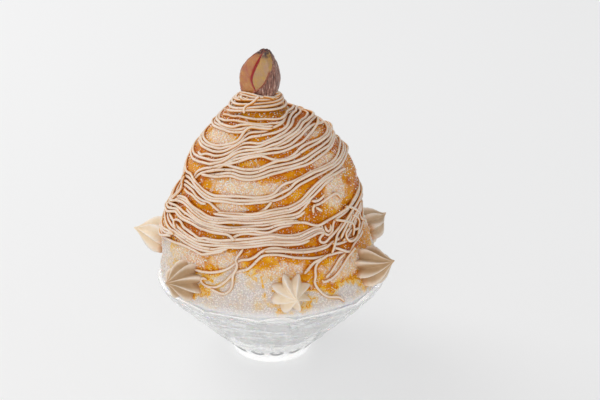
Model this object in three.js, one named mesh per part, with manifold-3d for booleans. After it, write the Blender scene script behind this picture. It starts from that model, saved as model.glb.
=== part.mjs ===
// A tall dome of shaved ice in a footed glass bowl, wound with piped chestnut cream, ringed
// with star-piped meringues and topped with half a candied chestnut.
//
// Millimetres, +Z up. The origin is the centre of the bowl's flat foot. Azimuths are in
// degrees: 0 is the front (-Y) and they grow towards the right (+X).

import * as THREE from 'three';
import { mergeVertices } from 'three/addons/utils/BufferGeometryUtils.js';
import Module from 'manifold-3d';

const wasm = await Module();
wasm.setup();

// ---------------------------------------------------------------- the bowl's and the ice's sizes

const RIM_HEIGHT = 60;          // height of the crests of the bowl's rim
const RIM_RADIUS = 79;          // outer radius there
const FOOT_RADIUS = 25;         // radius of the flat that the bowl stands on
const FLOOR = 9;                // thickness of the glass under the ice
const MOUND_TOP = 187;          // height of the ice under the chestnut
const GAP = 0.35;               // clearance between pieces that touch

const BOWL_SEGMENTS = 60;
const ICE_SEGMENTS = 24;

// Both sides of the bowl's wall, as [radius, height].
const BOWL_OUTSIDE = [
  [FOOT_RADIUS, 0], [26.6, 3.2], [29.2, 7], [42.2, 20], [62.8, 40], [72.7, 50], [78.7, 58.6],
];
const BOWL_INSIDE = [[75.4, 59], [58, 40], [37.5, 20.4], [22, FLOOR + 0.8], [0, FLOOR]];

// Azimuths of the notches between the lobes of the rim.
const RIM_NOTCHES = [-174, -150, -120, -96, -66, -36, -6, 12, 48, 72, 102, 126, 156];
const NOTCH_DEPTH = 3;          // how far a notch lies below the crest of a lobe
const NOTCH_TUCK = 1.3;         // how far it lies inside it
const THUMBPRINTS = 12;         // dimples round the foot
const THUMBPRINT_DEPTH = 1.1;

// The ice inside the bowl, as [radius, height], clear of the glass.
const ICE_IN_BOWL = [[0, FLOOR + GAP], [21.6, FLOOR + 0.8 + GAP], [36.9, 20.5], [57.4, 40.1], [66.6, 50]];

// The dome of ice above that, under the cream, as [height, radius].
const DOME = [
  [56, 72.1], [60, 74.2], [68, 74], [76, 72.9], [90, 70.4], [105, 66], [120, 60], [135, 56.6], [150, 49],
  [160, 41.5], [168, 34.5], [173, 30], [176, 25.5], [178, 20.5], [180.5, 17], [184, 12.5], [186.3, 8],
  [MOUND_TOP, 0],
];

// How far the middle of the dome lies to the right of the bowl's, as [height, distance].
const DOME_LEAN = [
  [60, 0], [75, -2], [92, -4], [106, -4.5], [125, -1.5], [150, -1], [165, -1], [173, -2], [176, -3.5],
  [179, -7], [184, -8.5],
];

// Heights at which the dome has a row of corners.
const DOME_ROWS = [56, 62, 78, 95, 120, 140, 156, 168, 175, 179, 184];

const LUMP_HEIGHT = 0.6;        // how far the packed ice swells and dips

// ---------------------------------------------------------------- the cream's sizes

const STRAND_DIAMETER = 2.4;
const STRAND_PITCH = 2.7;       // distance between the strands of one pass of the nozzle
const CREST = 1.9;              // height of a strand above the ice
const GROOVE = 0.4;             // height of the groove between two strands
const EDGE = -0.5;              // height of the foot of a pass's outer strands
const ROOT = -3.5;              // depth to which a pass is let into the ice
const STRAND_WANDER = 0.5;      // how far the strands stray from an even line
const PASS_STEPS = 22;          // sections along a pass
const PASS_TURN = 357;          // azimuth that a pass goes round
const PASS_STAGGER = 7;         // azimuth by which each pass starts before the one below ends

// One row for each pass round the ice, from the lowest up: its number of strands, and the
// height of its middle at seven azimuths across the front. The passes make one long winding,
// so round the back each goes on to where the next begins.
const PASS_AZIMUTHS = [-80, -50, -25, 0, 25, 50, 80];
const PASSES = [
  { strands: 3, heights: [107, 104.5, 105, 110, 110, 111.5, 110] },
  { strands: 3, heights: [114, 114, 112.5, 118, 117.5, 117.5, 127] },
  { strands: 3, heights: [122, 122, 119.5, 124, 131, 141, 144] },
  { strands: 3, heights: [134, 135, 134, 136, 146.5, 150, 152] },
  { strands: 3, heights: [145, 144, 146.5, 149, 152.5, 157, 159] },
  { strands: 3, heights: [151, 151, 158, 161.5, 162, 165, 165] },
  { strands: 3, heights: [159, 158, 166, 169, 170.5, 173, 171] },
  { strands: 2, heights: [168, 169, 173.5, 174, 176, 178, 176] },
  { strands: 2, heights: [176, 178, 179.5, 179, 179.5, 181, 180] },
  { strands: 2, heights: [184, 184, 184, 184, 184, 184, 184] },
];

// Single strands that stray from the passes, as [azimuth, height] stops.
const STRAYS = [
  [[-42, 84], [-27, 88], [-14, 97.5], [5, 106], [20, 103], [40, 102], [58, 104]],
  [[-38, 80], [-29, 77.5], [-17, 88.5], [3, 101], [20, 97], [40, 94], [54, 92]],
  [[-12, 104], [-16, 88], [-21, 75], [-30, 74]],
  [[58, 118], [44, 110], [38, 104], [44, 101], [50, 108], [60, 113], [76, 117]],
  [[48, 96], [36, 88], [28, 80], [33, 70], [39, 65]],
  [[44, 108], [60, 114], [73, 126], [86, 138], [104, 144], [125, 146]],
];
const STRAY_STEP = 10;          // length of one straight piece of such a strand
const STRAY_SIDES = 4;
const STRAY_LIFT = 0.5;         // height of its middle above the ice

// ---------------------------------------------------------------- the meringues' and the chestnut's sizes

const RIBS = 8;
const MERINGUE_RADIUS = 13.6;
const MERINGUE_LENGTH = 26.5;
const RIB_DEPTH = 0.34;         // share of the radius lost between two ribs
const RIB_TWIST = 14;           // degrees that the ribs turn from base to tip
const MERINGUE_REACH = 70;      // distance of a base from the middle of the ice
const POCKET_SEGMENTS = 12;     // sides of the hollow that a base sits in

// Radius of a meringue at each distance from its base, as shares of its length and radius.
const MERINGUE_PROFILE = [
  [0, 0.86], [0.12, 0.99], [0.28, 1], [0.45, 0.86], [0.61, 0.6], [0.75, 0.31], [0.88, 0.12], [1, 0.03],
];

// Where the middle of each meringue's base sits, how far its axis swings sideways and climbs,
// and how far it is turned on that axis. The ring of seven is nearly even.
const MERINGUES = [
  { azimuth: 11, height: 76.5, swing: 1, climb: 8, size: 1, turn: 10 },
  { azimuth: 63, height: 74.5, swing: -2, climb: 22, size: 1.02, turn: 4 },
  { azimuth: 114, height: 75, swing: 14, climb: 14, size: 0.96, turn: 17 },
  { azimuth: 166, height: 75.5, swing: -5, climb: 15, size: 0.98, turn: 30 },
  { azimuth: -151, height: 75, swing: 4, climb: 11, size: 1, turn: 22 },
  { azimuth: -103, height: 77, swing: 4, climb: 10, size: 0.98, turn: 38 },
  { azimuth: -47, height: 74.5, swing: 8, climb: 13, size: 1.02, turn: 14 },
];

const NUT = { diameter: 28.6, height: 37, segments: 20 };
const NUT_PLACE = { x: -9.6, y: -1.5, z: MOUND_TOP - 3, facing: -42, lean: 8 };
const CUT_SETBACK = 3.8;        // distance of the cut face from the middle of the whole nut
const SEAM = { top: 0.9, bottom: 0.08, bow: 4.5, width: 1.1, depth: 1.6 };

// Radius of the whole nut at each height, as shares of its radius and height.
const NUT_PROFILE = [
  [0, 0], [0.36, 0], [0.66, 0.05], [0.85, 0.14], [0.95, 0.25], [1, 0.39], [0.97, 0.5], [0.87, 0.62],
  [0.69, 0.75], [0.46, 0.87], [0.24, 0.95], [0.1, 0.985], [0, 1],
];

// ---------------------------------------------------------------- helpers

const radians = THREE.MathUtils.degToRad;
const { smoothstep } = THREE.MathUtils;

function azimuthOf(point) {
  return THREE.MathUtils.radToDeg(Math.atan2(point.x, -point.y));
}

// A smooth line through a list of [where, value] stops, level beyond its ends.
function along(stops, where) {
  const last = stops.length - 1;
  if (where <= stops[0][0]) return stops[0][1];
  if (where >= stops[last][0]) return stops[last][1];
  const i = stops.findIndex((stop) => stop[0] > where) - 1;
  const slope = (k) => {
    const before = stops[Math.max(k - 1, 0)];
    const after = stops[Math.min(k + 1, last)];
    return (after[1] - before[1]) / (after[0] - before[0]);
  };
  const span = stops[i + 1][0] - stops[i][0];
  const t = (where - stops[i][0]) / span;
  const blend = t * t * (3 - 2 * t);
  const leave = t * (1 - t) * (1 - t) * span * slope(i);
  const arrive = t * t * (1 - t) * span * slope(i + 1);
  return stops[i][1] * (1 - blend) + stops[i + 1][1] * blend + leave - arrive;
}

// Moves each point of a geometry to where a function puts it.
function reshaped(geometry, reshape) {
  const position = geometry.getAttribute('position');
  const point = new THREE.Vector3();
  for (let i = 0; i < position.count; i += 1) {
    point.fromBufferAttribute(position, i);
    reshape(point);
    position.setXYZ(i, point.x, point.y, point.z);
  }
  return geometry;
}

// An outline of [radius, height] points turned about +Z. Its first side faces azimuth 0.
function turned(outline, segments) {
  const points = outline.map(([radius, height]) => new THREE.Vector2(radius, height));
  return new THREE.LatheGeometry(points, segments).rotateX(Math.PI / 2);
}

// A three.js geometry as a closed solid that can be joined and cut.
function solidOf(geometry) {
  const bare = geometry.clone();
  bare.deleteAttribute('normal');
  bare.deleteAttribute('uv');
  const merged = mergeVertices(bare, 1e-4);
  const position = merged.getAttribute('position').array;
  const index = merged.getIndex().array;
  const corners = [];
  let volume = 0;
  for (let i = 0; i < index.length; i += 3) {
    const [a, b, c] = index.slice(i, i + 3);
    if (a === b || b === c || c === a) continue;
    corners.push(a, b, c);
    const [p, q, r] = [a, b, c].map((k) => new THREE.Vector3().fromArray(position, 3 * k));
    volume += p.dot(q.cross(r));
  }
  if (volume < 0) corners.reverse();
  return new wasm.Manifold(new wasm.Mesh({
    numProp: 3,
    vertProperties: Float32Array.from(position),
    triVerts: Uint32Array.from(corners),
  }));
}

function geometryOf(solid) {
  const mesh = solid.getMesh();
  const geometry = new THREE.BufferGeometry();
  geometry.setAttribute('position', new THREE.BufferAttribute(mesh.vertProperties, 3));
  geometry.setIndex(new THREE.BufferAttribute(mesh.triVerts, 1));
  geometry.computeVertexNormals();
  return geometry;
}

// ---------------------------------------------------------------- the glass bowl

// 0 at a notch of the rim and 1 at the crest of a lobe.
function lobe(azimuth) {
  const notches = [...RIM_NOTCHES, RIM_NOTCHES[0] + 360];
  const at = azimuth < notches[0] ? azimuth + 360 : azimuth;
  const i = notches.findIndex((notch) => notch > at);
  const share = (at - notches[i - 1]) / (notches[i] - notches[i - 1]);
  return Math.sin(Math.PI * share) ** 0.6;
}

function shapeGlass(point) {
  const radius = Math.hypot(point.x, point.y);
  if (radius < 1e-6) return;
  const azimuth = azimuthOf(point);
  const notch = (1 - lobe(azimuth)) * smoothstep(point.z, RIM_HEIGHT / 2, RIM_HEIGHT);
  const onFoot = radius > FOOT_RADIUS ? Math.max(0, 1 - Math.abs(point.z - 5.1) / 4) : 0;
  const dimple = THUMBPRINT_DEPTH * onFoot * Math.max(0, Math.cos(radians(THUMBPRINTS * (azimuth - 7.5))));
  const scale = (radius - NOTCH_TUCK * notch - dimple) / radius;
  point.set(point.x * scale, point.y * scale, point.z - NOTCH_DEPTH * notch);
}

function bowl() {
  const rim = [[RIM_RADIUS - 1, RIM_HEIGHT], [RIM_RADIUS - 2.6, RIM_HEIGHT]];
  const outline = [[0, 0], ...BOWL_OUTSIDE, ...rim, ...BOWL_INSIDE];
  return solidOf(reshaped(turned(outline, BOWL_SEGMENTS), shapeGlass));
}

// ---------------------------------------------------------------- the ice

// How far the surface of the ice swells out of the even dome.
function lump(azimuth, height) {
  const a = radians(azimuth);
  const fade = smoothstep(height, 62, 84) * (1 - smoothstep(height, 160, 184));
  const broad = Math.sin(3 * a + height / 13) + 0.5 * Math.sin(2 * a + height / 21 + 4);
  return LUMP_HEIGHT * fade * (broad + 0.8 * Math.sin(5 * a - height / 9 + 1.3));
}

// How much longer the way up the dome's side is than its rise, at a height.
function steepness(height) {
  return Math.hypot(1, (along(DOME, height + 1) - along(DOME, height - 1)) / 2);
}

// The point at a height and azimuth on the ice, raised square to its surface.
function onIce(azimuth, height, raised) {
  const slope = (along(DOME, height + 1) - along(DOME, height - 1)) / 2;
  const out = along(DOME, height) + lump(azimuth, height) + raised / steepness(height);
  const a = radians(azimuth);
  const up = (-slope / steepness(height)) * raised;
  return new THREE.Vector3(out * Math.sin(a) + along(DOME_LEAN, height), -out * Math.cos(a), height + up);
}

function iceCore() {
  const rows = DOME_ROWS.map((height) => [along(DOME, height), height]);
  const outline = [...ICE_IN_BOWL, ...rows, [0, MOUND_TOP]];
  return solidOf(reshaped(turned(outline, ICE_SEGMENTS), (point) => {
    if (point.z < DOME[0][0]) return;
    if (point.z < MOUND_TOP) point.copy(onIce(azimuthOf(point), point.z, 0));
    else point.x += along(DOME_LEAN, MOUND_TOP);
  }));
}

// ---------------------------------------------------------------- the cream

// The height of a pass's middle. Behind, it meets the passes below and above it.
function passHeight(index, azimuth) {
  const { heights } = PASSES[index];
  const [first, last] = [heights[0], heights[heights.length - 1]];
  const below = index > 0 ? PASSES[index - 1].heights[heights.length - 1] : first;
  const above = index < PASSES.length - 1 ? PASSES[index + 1].heights[0] : last;
  const front = PASS_AZIMUTHS.map((at, i) => [at, heights[i]]);
  return along([[-180, (below + first) / 2], ...front, [180, (last + above) / 2]], azimuth);
}

// One pass of the nozzle: a band with a ridge for each strand, laid on the ice. It is extruded
// straight, one unit wide for each strand, and then bent round.
function pass(index) {
  const { strands } = PASSES[index];
  const section = new THREE.Shape([new THREE.Vector2(0, ROOT), new THREE.Vector2(strands, ROOT)]);
  section.lineTo(strands, EDGE);
  for (let i = strands; i > 0; i -= 1) {
    section.lineTo(i - 0.5, CREST);
    section.lineTo(i - 1, i > 1 ? GROOVE : EDGE);
  }
  const band = new THREE.ExtrudeGeometry(section, { depth: 1, steps: PASS_STEPS, bevelEnabled: false });
  return solidOf(reshaped(band, (point) => {
    const azimuth = point.z * PASS_TURN - 180 - PASS_STAGGER * index;
    const a = radians(azimuth);
    const wander = Math.sin(3 * a + point.x + 2 * index) + Math.sin(5 * a + 1.7 * point.x + index);
    const middle = passHeight(index, azimuth);
    const across = (point.x - strands / 2) * STRAND_PITCH + STRAND_WANDER * wander;
    point.copy(onIce(azimuth, middle + across / steepness(middle), point.y));
  }));
}

// A single strand through its [azimuth, height] stops, whose ends sink into the ice.
function stray(stops) {
  const last = stops.length - 1;
  const lifts = stops.map((_, i) => (i % last === 0 ? ROOT : STRAY_LIFT));
  const points = stops.map(([azimuth, height], i) => onIce(azimuth, height, lifts[i]));
  const route = new THREE.CatmullRomCurve3(points);
  const corners = Array.from({ length: STRAY_SIDES }, (_, i) => {
    const turn = (2 * Math.PI * i) / STRAY_SIDES;
    return new THREE.Vector2(Math.cos(turn), Math.sin(turn)).multiplyScalar(STRAND_DIAMETER / 2);
  });
  const steps = Math.round(route.getLength() / STRAY_STEP);
  return solidOf(new THREE.ExtrudeGeometry(new THREE.Shape(corners), { steps, extrudePath: route }));
}

// ---------------------------------------------------------------- meringues

// Turns a meringue or its pocket, made along +Z, outwards and sets its base on the ice.
function placeMeringue(geometry, { azimuth, height, swing, climb }) {
  const a = radians(azimuth);
  const middle = along(DOME_LEAN, height);
  geometry.rotateX(radians(90 - climb)).rotateZ(radians(azimuth + swing));
  return geometry.translate(MERINGUE_REACH * Math.sin(a) + middle, -MERINGUE_REACH * Math.cos(a), height);
}

// A kiss piped through a star nozzle.
function meringue(place) {
  const length = MERINGUE_LENGTH * place.size;
  const radius = MERINGUE_RADIUS * place.size;
  const outline = MERINGUE_PROFILE.map(([share, width]) => [width * radius, share * length]);
  const kiss = reshaped(turned([[0, 0], ...outline, [0, length + 0.3]], RIBS * 2), (point) => {
    const share = point.z / length;
    const between = (1 - Math.cos(radians(RIBS * azimuthOf(point)))) / 2;
    const reach = Math.hypot(point.x, point.y) * (1 - RIB_DEPTH * between);
    const a = radians(azimuthOf(point) + place.turn + RIB_TWIST * share);
    point.set(reach * Math.sin(a), -reach * Math.cos(a), point.z);
  });
  return solidOf(placeMeringue(kiss, place));
}

function meringuePocket(place) {
  const radius = (MERINGUE_RADIUS * place.size + GAP) / Math.cos(Math.PI / POCKET_SEGMENTS);
  const [swell, length] = [0.12 * MERINGUE_LENGTH, 0.45 * MERINGUE_LENGTH];
  const outline = [[0, -GAP], [0.88 * radius, -GAP], [radius, swell], [radius, length], [0, length]];
  return solidOf(placeMeringue(turned(outline, POCKET_SEGMENTS), place));
}

// ---------------------------------------------------------------- the chestnut

function placeNut(geometry) {
  geometry.rotateY(radians(NUT_PLACE.lean)).rotateZ(radians(NUT_PLACE.facing));
  return geometry.translate(NUT_PLACE.x, NUT_PLACE.y, NUT_PLACE.z);
}

// The nut without the slice that was cut off it, grown by a clearance all round.
function halfNut(clearance) {
  const radius = NUT.diameter / 2;
  const outline = NUT_PROFILE.map(([out, up]) => [out * radius, up * NUT.height]);
  const whole = turned(outline, NUT.segments);
  const grown = [1 + clearance / radius, 1 + clearance / radius, 1 + (2 * clearance) / NUT.height];
  whole.scale(...grown).translate(0, 0, -clearance);
  const slice = new THREE.BoxGeometry(2 * NUT.diameter, NUT.diameter, 2 * NUT.height);
  slice.translate(0, -NUT.diameter / 2 - CUT_SETBACK - clearance, NUT.height / 2);
  return solidOf(placeNut(whole)).subtract(solidOf(placeNut(slice)));
}

// The bowed blade that opens the seam between the nut's two lobes on its cut face.
function seamBlade() {
  const [top, bottom] = [SEAM.top * NUT.height, SEAM.bottom * NUT.height];
  const middle = (top + bottom) / 2;
  const bow = new THREE.Shape();
  bow.moveTo(0, top);
  bow.quadraticCurveTo(-2 * SEAM.bow + SEAM.width, middle, 0, bottom);
  bow.quadraticCurveTo(-2 * SEAM.bow - SEAM.width, middle, 0, top);
  const cut = { depth: 2 * SEAM.depth, bevelEnabled: false, curveSegments: 7 };
  const blade = new THREE.ExtrudeGeometry(bow, cut);
  blade.rotateX(Math.PI / 2).translate(1.5, SEAM.depth - CUT_SETBACK, 0);
  return solidOf(placeNut(blade));
}

// ---------------------------------------------------------------- the assembly

// The passes and strays are joined to the ice, and the toppings' seats are cut out of both.
function iceWithCream() {
  let solid = iceCore();
  PASSES.forEach((_, index) => {
    solid = solid.add(pass(index));
  });
  STRAYS.forEach((stops) => {
    solid = solid.add(stray(stops));
  });
  MERINGUES.forEach((place) => {
    solid = solid.subtract(meringuePocket(place));
  });
  return solid.subtract(halfNut(GAP));
}

const GLASS = new THREE.MeshStandardMaterial({ color: 0xe4ebec, roughness: 0.05, transparent: true });
GLASS.opacity = 0.4;
const ICE = new THREE.MeshStandardMaterial({ color: 0xdcae76, roughness: 0.6 });
const MERINGUE = new THREE.MeshStandardMaterial({ color: 0xe3c9a6, roughness: 0.75 });
const CHESTNUT = new THREE.MeshStandardMaterial({ color: 0x9c6a45, roughness: 0.45 });

const kakigori = new THREE.Group();

function addPiece(name, solid, material) {
  const piece = new THREE.Mesh(geometryOf(solid), material.clone());
  piece.name = name;
  kakigori.add(piece);
}

addPiece('glass_bowl', bowl(), GLASS);
addPiece('shaved_ice_and_cream', iceWithCream(), ICE);
MERINGUES.forEach((place, i) => addPiece(`meringue_${i + 1}`, meringue(place), MERINGUE));
addPiece('chestnut', halfNut(0).subtract(seamBlade()), CHESTNUT);

export default kakigori;
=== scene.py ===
"""A kakigori: shaved ice in a footed glass bowl, wound with piped chestnut cream, ringed with
meringue kisses and topped with half a candied chestnut.

Lengths are in millimetres up to the point where a mesh is made, and in metres after it.
Azimuths are in degrees: 0 is the front (-Y) and they grow towards the right (+X).
"""

import math

import bmesh
import bpy
import numpy as np
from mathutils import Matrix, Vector, noise


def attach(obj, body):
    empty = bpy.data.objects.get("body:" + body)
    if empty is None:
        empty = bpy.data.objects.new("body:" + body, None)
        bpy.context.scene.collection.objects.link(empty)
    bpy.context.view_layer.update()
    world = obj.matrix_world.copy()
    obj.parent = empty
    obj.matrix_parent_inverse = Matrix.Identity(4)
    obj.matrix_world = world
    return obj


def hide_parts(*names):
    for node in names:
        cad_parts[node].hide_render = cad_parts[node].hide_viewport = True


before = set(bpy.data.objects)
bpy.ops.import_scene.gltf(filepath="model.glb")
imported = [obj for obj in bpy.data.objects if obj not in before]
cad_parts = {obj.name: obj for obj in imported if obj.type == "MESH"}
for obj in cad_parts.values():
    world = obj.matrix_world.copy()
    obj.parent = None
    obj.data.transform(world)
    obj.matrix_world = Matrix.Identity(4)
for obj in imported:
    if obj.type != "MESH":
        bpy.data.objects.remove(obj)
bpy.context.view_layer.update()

MM = 0.001

# ------------------------------------------------------------------ the bowl's and the ice's sizes

RIM_HEIGHT = 60.0
WIDEST = 79.1                  # radius that no ripple of the glass passes
FOOT_RADIUS = 25.0
FLOOR = 9.0
MOUND_TOP = 187.0

# Both sides of the glass, from the middle of the foot round the rim to the middle of the floor.
BOWL_PROFILE = [
    (0, 0.7), (14, 0.7), (20, 0.5), (22.5, 0.05), (FOOT_RADIUS, 0), (26.3, 1.2), (26.8, 3.4),
    (27.8, 5.4), (29.4, 7.2), (34.4, 12.2), (42.2, 20), (52.6, 30), (62.8, 40), (72.7, 50),
    (77.6, 56.6), (78.9, 58.6), (78.8, 59.6), (78, RIM_HEIGHT), (76.6, 59.9), (75.6, 59.1),
    (72.8, 56), (67, 49.6), (58, 40), (47.5, 29.8), (37.5, 20.4), (28.5, 13.2), (21, 9.9),
    (11, 9.1), (0, FLOOR),
]
RIM_NOTCHES = [-174, -150, -120, -96, -66, -36, -6, 12, 48, 72, 102, 126, 156]
NOTCH_DEPTH = 3.0
NOTCH_TUCK = 1.3

# Thumbprints: shallow round dimples pressed in over the foot.
THUMBPRINTS = 15
THUMBPRINT_TURN = 5.8          # azimuth of the first one
THUMBPRINT_HEIGHT = 9.8
THUMBPRINT_HALF_WIDE = 8.4     # degrees
THUMBPRINT_HALF_TALL = 3.1
THUMBPRINT_DEPTH = 1.3

# The ice inside the bowl, as (radius, height), let a little way into the glass.
ICE_IN_BOWL = [
    (0, 8.8), (11, 8.9), (21, 9.7), (28.7, 13.0), (37.7, 20.2), (47.7, 29.6), (58.2, 39.8), (67.2, 49.4),
    (72.4, 56),
]

# The dome of ice above that, under the cream, as (height, radius).
DOME_FOOT = 56
DOME = [
    (DOME_FOOT, 72.1), (58.8, 74.6), (60.4, 76), (63, 75.8), (68, 74.4), (76, 72.9), (90, 70.4), (105, 66),
    (120, 60), (135, 56.6), (150, 49), (160, 41.5), (168, 34.5), (173, 30), (176, 25.5), (178, 20.5),
    (180.5, 17), (184, 12.5), (186.3, 8), (MOUND_TOP, 0),
]

# How far the middle of the dome lies to the right of the bowl's, as (height, distance).
DOME_LEAN = [
    (60, 0), (75, -2), (92, -4), (106, -4.5), (125, -1.5), (150, -1), (165, -1), (173, -2), (176, -3.5),
    (179, -7), (184, -8.5),
]
LUMP_HEIGHT = 0.6

# The dome is hollowed between the nest on its top and its shoulder on the right, and slopes away
# more behind it, each as (height, depth).
HOLLOW_RIGHT = [(171, 0), (173, 1.5), (175, 7), (176, 8), (178, 4.5), (181, 1.7), (184, 0.5), (MOUND_TOP, 0)]
HOLLOW_BEHIND = [
    (160, 0), (165, 2.5), (169, 7.5), (173, 11), (176, 9), (178, 5), (181, 2), (184, 0.5), (MOUND_TOP, 0),
]


# ------------------------------------------------------------------ helpers for shapes

def smoothstep(x, low, high):
    t = np.clip((np.asarray(x, float) - low) / (high - low), 0, 1)
    return t * t * (3 - 2 * t)


def xyz(x, y, z):
    """Points from their three coordinates."""
    return np.stack([x, y, z], axis=-1)


X, Y, Z = range(3)


def turned(points, axis, degrees):
    """Points turned about an axis."""
    first, second = (axis + 1) % 3, (axis + 2) % 3
    c, s = math.cos(math.radians(degrees)), math.sin(math.radians(degrees))
    out = points.copy()
    out[:, first] = points[:, first] * c - points[:, second] * s
    out[:, second] = points[:, first] * s + points[:, second] * c
    return out


def along(stops, where):
    """A smooth line through a list of (where, value) stops, level beyond its ends."""
    at = np.array([s[0] for s in stops], float)
    value = np.array([s[1] for s in stops], float)
    slope = np.empty_like(value)
    slope[1:-1] = (value[2:] - value[:-2]) / (at[2:] - at[:-2])
    slope[0] = (value[1] - value[0]) / (at[1] - at[0])
    slope[-1] = (value[-1] - value[-2]) / (at[-1] - at[-2])
    where = np.clip(np.asarray(where, float), at[0], at[-1])
    i = np.clip(np.searchsorted(at, where, side="right") - 1, 0, len(at) - 2)
    span = at[i + 1] - at[i]
    t = (where - at[i]) / span
    blend = t * t * (3 - 2 * t)
    bend = t * (1 - t) * span * ((1 - t) * slope[i] - t * slope[i + 1])
    return value[i] * (1 - blend) + value[i + 1] * blend + bend


def along_line(stops, run, at):
    """Both values of a row of stops, smoothly, at distances along a run."""
    return [along(list(zip(run, stops[:, k])), at) for k in (0, 1)]


def lump(azimuth, height):
    """How far the surface of the ice swells out of the even dome."""
    a = np.radians(azimuth)
    round_it = azimuth % 360
    behind = smoothstep(round_it, 84, 122) * (1 - smoothstep(round_it, 200, 250))
    right = smoothstep(round_it, 15, 65) * (1 - smoothstep(round_it, 84, 122))
    hollow = along(HOLLOW_RIGHT, height) * right + along(HOLLOW_BEHIND, height) * behind
    fade = smoothstep(height, 62, 84) * (1 - smoothstep(height, 160, 184))
    broad = np.sin(3 * a + height / 13) + 0.5 * np.sin(2 * a + height / 21 + 4)
    return LUMP_HEIGHT * fade * (broad + 0.8 * np.sin(5 * a - height / 9 + 1.3)) - hollow


def dome_slope(height):
    """How much wider the dome gets for each mm of height, and the length of its side for it."""
    slope = (along(DOME, height + 1) - along(DOME, height - 1)) / 2
    return slope, np.hypot(1, slope)


def square_to_dome(azimuth, height):
    """The direction straight out of the dome's surface."""
    slope, steep = dome_slope(height)
    a = np.radians(azimuth)
    return xyz(np.sin(a) / steep, -np.cos(a) / steep, -slope / steep)


def on_ice(azimuth, height, raised):
    """Points at heights and azimuths on the ice, raised square to its surface."""
    slope, steep = dome_slope(height)
    out = along(DOME, height) + lump(azimuth, height) + raised / steep
    a = np.radians(azimuth)
    return xyz(out * np.sin(a) + along(DOME_LEAN, height), -out * np.cos(a), height - slope / steep * raised)


def fractal(points, size, octaves, seed):
    """Fractal noise of about -1 to 1 at points, with lumps of the given size."""
    shift = Vector((seed * 17.3, seed * -9.1, seed * 5.7))
    out = np.empty(len(points))
    for i, p in enumerate(points):
        at = Vector(p) / size + shift
        total, weight = 0.0, 1.0
        for _ in range(octaves):
            total += weight * noise.noise(at)
            at = at * 2.03
            weight *= 0.5
        out[i] = total
    return out


# ------------------------------------------------------------------ helpers for pieces

def deselect_all():
    if bpy.context.object and bpy.context.object.mode != "OBJECT":
        bpy.ops.object.mode_set(mode="OBJECT")
    bpy.ops.object.select_all(action="DESELECT")


def only(piece):
    deselect_all()
    piece.select_set(True)
    bpy.context.view_layer.objects.active = piece


def spun(name, profile, steps):
    """A closed profile of (radius, height) points, in mm, spun round +Z."""
    deselect_all()
    bpy.ops.mesh.primitive_circle_add(vertices=len(profile), radius=0.01, location=(0, 0, 0))
    piece = bpy.context.object
    piece.name = piece.data.name = name
    for vertex, (radius, height) in zip(piece.data.vertices, profile):
        vertex.co = (radius * MM, 0, height * MM)
    bpy.ops.object.mode_set(mode="EDIT")
    mesh = bmesh.from_edit_mesh(piece.data)
    mesh.edges.ensure_lookup_table()
    ends = {0, len(profile) - 1}
    closing = [e for e in mesh.edges if {v.index for v in e.verts} == ends]
    bmesh.ops.delete(mesh, geom=closing, context="EDGES")
    bmesh.update_edit_mesh(piece.data)
    bpy.ops.mesh.select_all(action="SELECT")
    bpy.ops.mesh.spin(steps=steps, angle=2 * math.pi, center=(0, 0, 0), axis=(0, 0, 1))
    bpy.ops.mesh.select_all(action="SELECT")
    bpy.ops.mesh.remove_doubles(threshold=2e-6)
    bpy.ops.mesh.select_all(action="SELECT")
    bpy.ops.mesh.normals_make_consistent(inside=False)
    bpy.ops.object.mode_set(mode="OBJECT")
    return piece


def points_of(piece):
    """The corners of a piece, in mm."""
    co = np.empty(len(piece.data.vertices) * 3)
    piece.data.vertices.foreach_get("co", co)
    return co.reshape(-1, 3) / MM


def set_points(piece, points):
    piece.data.vertices.foreach_set("co", (points * MM).ravel())
    piece.data.update()


def set_share(piece, name, values):
    """Keeps a share from 0 to 1 on each corner, for the piece's material."""
    layer = piece.data.attributes.new(name, "FLOAT", "POINT")
    layer.data.foreach_set("value", np.clip(values, 0, 1).astype(np.float32))


def azimuth_of(points):
    return np.degrees(np.arctan2(points[:, 0], -points[:, 1]))


def smooth(piece):
    only(piece)
    bpy.ops.object.shade_smooth()


def finer(stops, step):
    """Points along a smooth line through (radius, height) stops, about a step apart."""
    stops = np.array(stops, float)
    run = np.concatenate([[0], np.cumsum(np.hypot(*np.diff(stops, axis=0).T))])
    at = np.linspace(0, run[-1], int(round(run[-1] / step)) + 1)
    return np.transpose(along_line(stops, run, at)).tolist()


# ------------------------------------------------------------------ helpers for materials

def srgb(r, g, b):
    """A colour in 0-255 screen values as the linear values that a shader takes."""
    def linear(v):
        v /= 255
        return v / 12.92 if v <= 0.04045 else ((v + 0.055) / 1.055) ** 2.4
    return (linear(r), linear(g), linear(b), 1.0)


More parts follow.
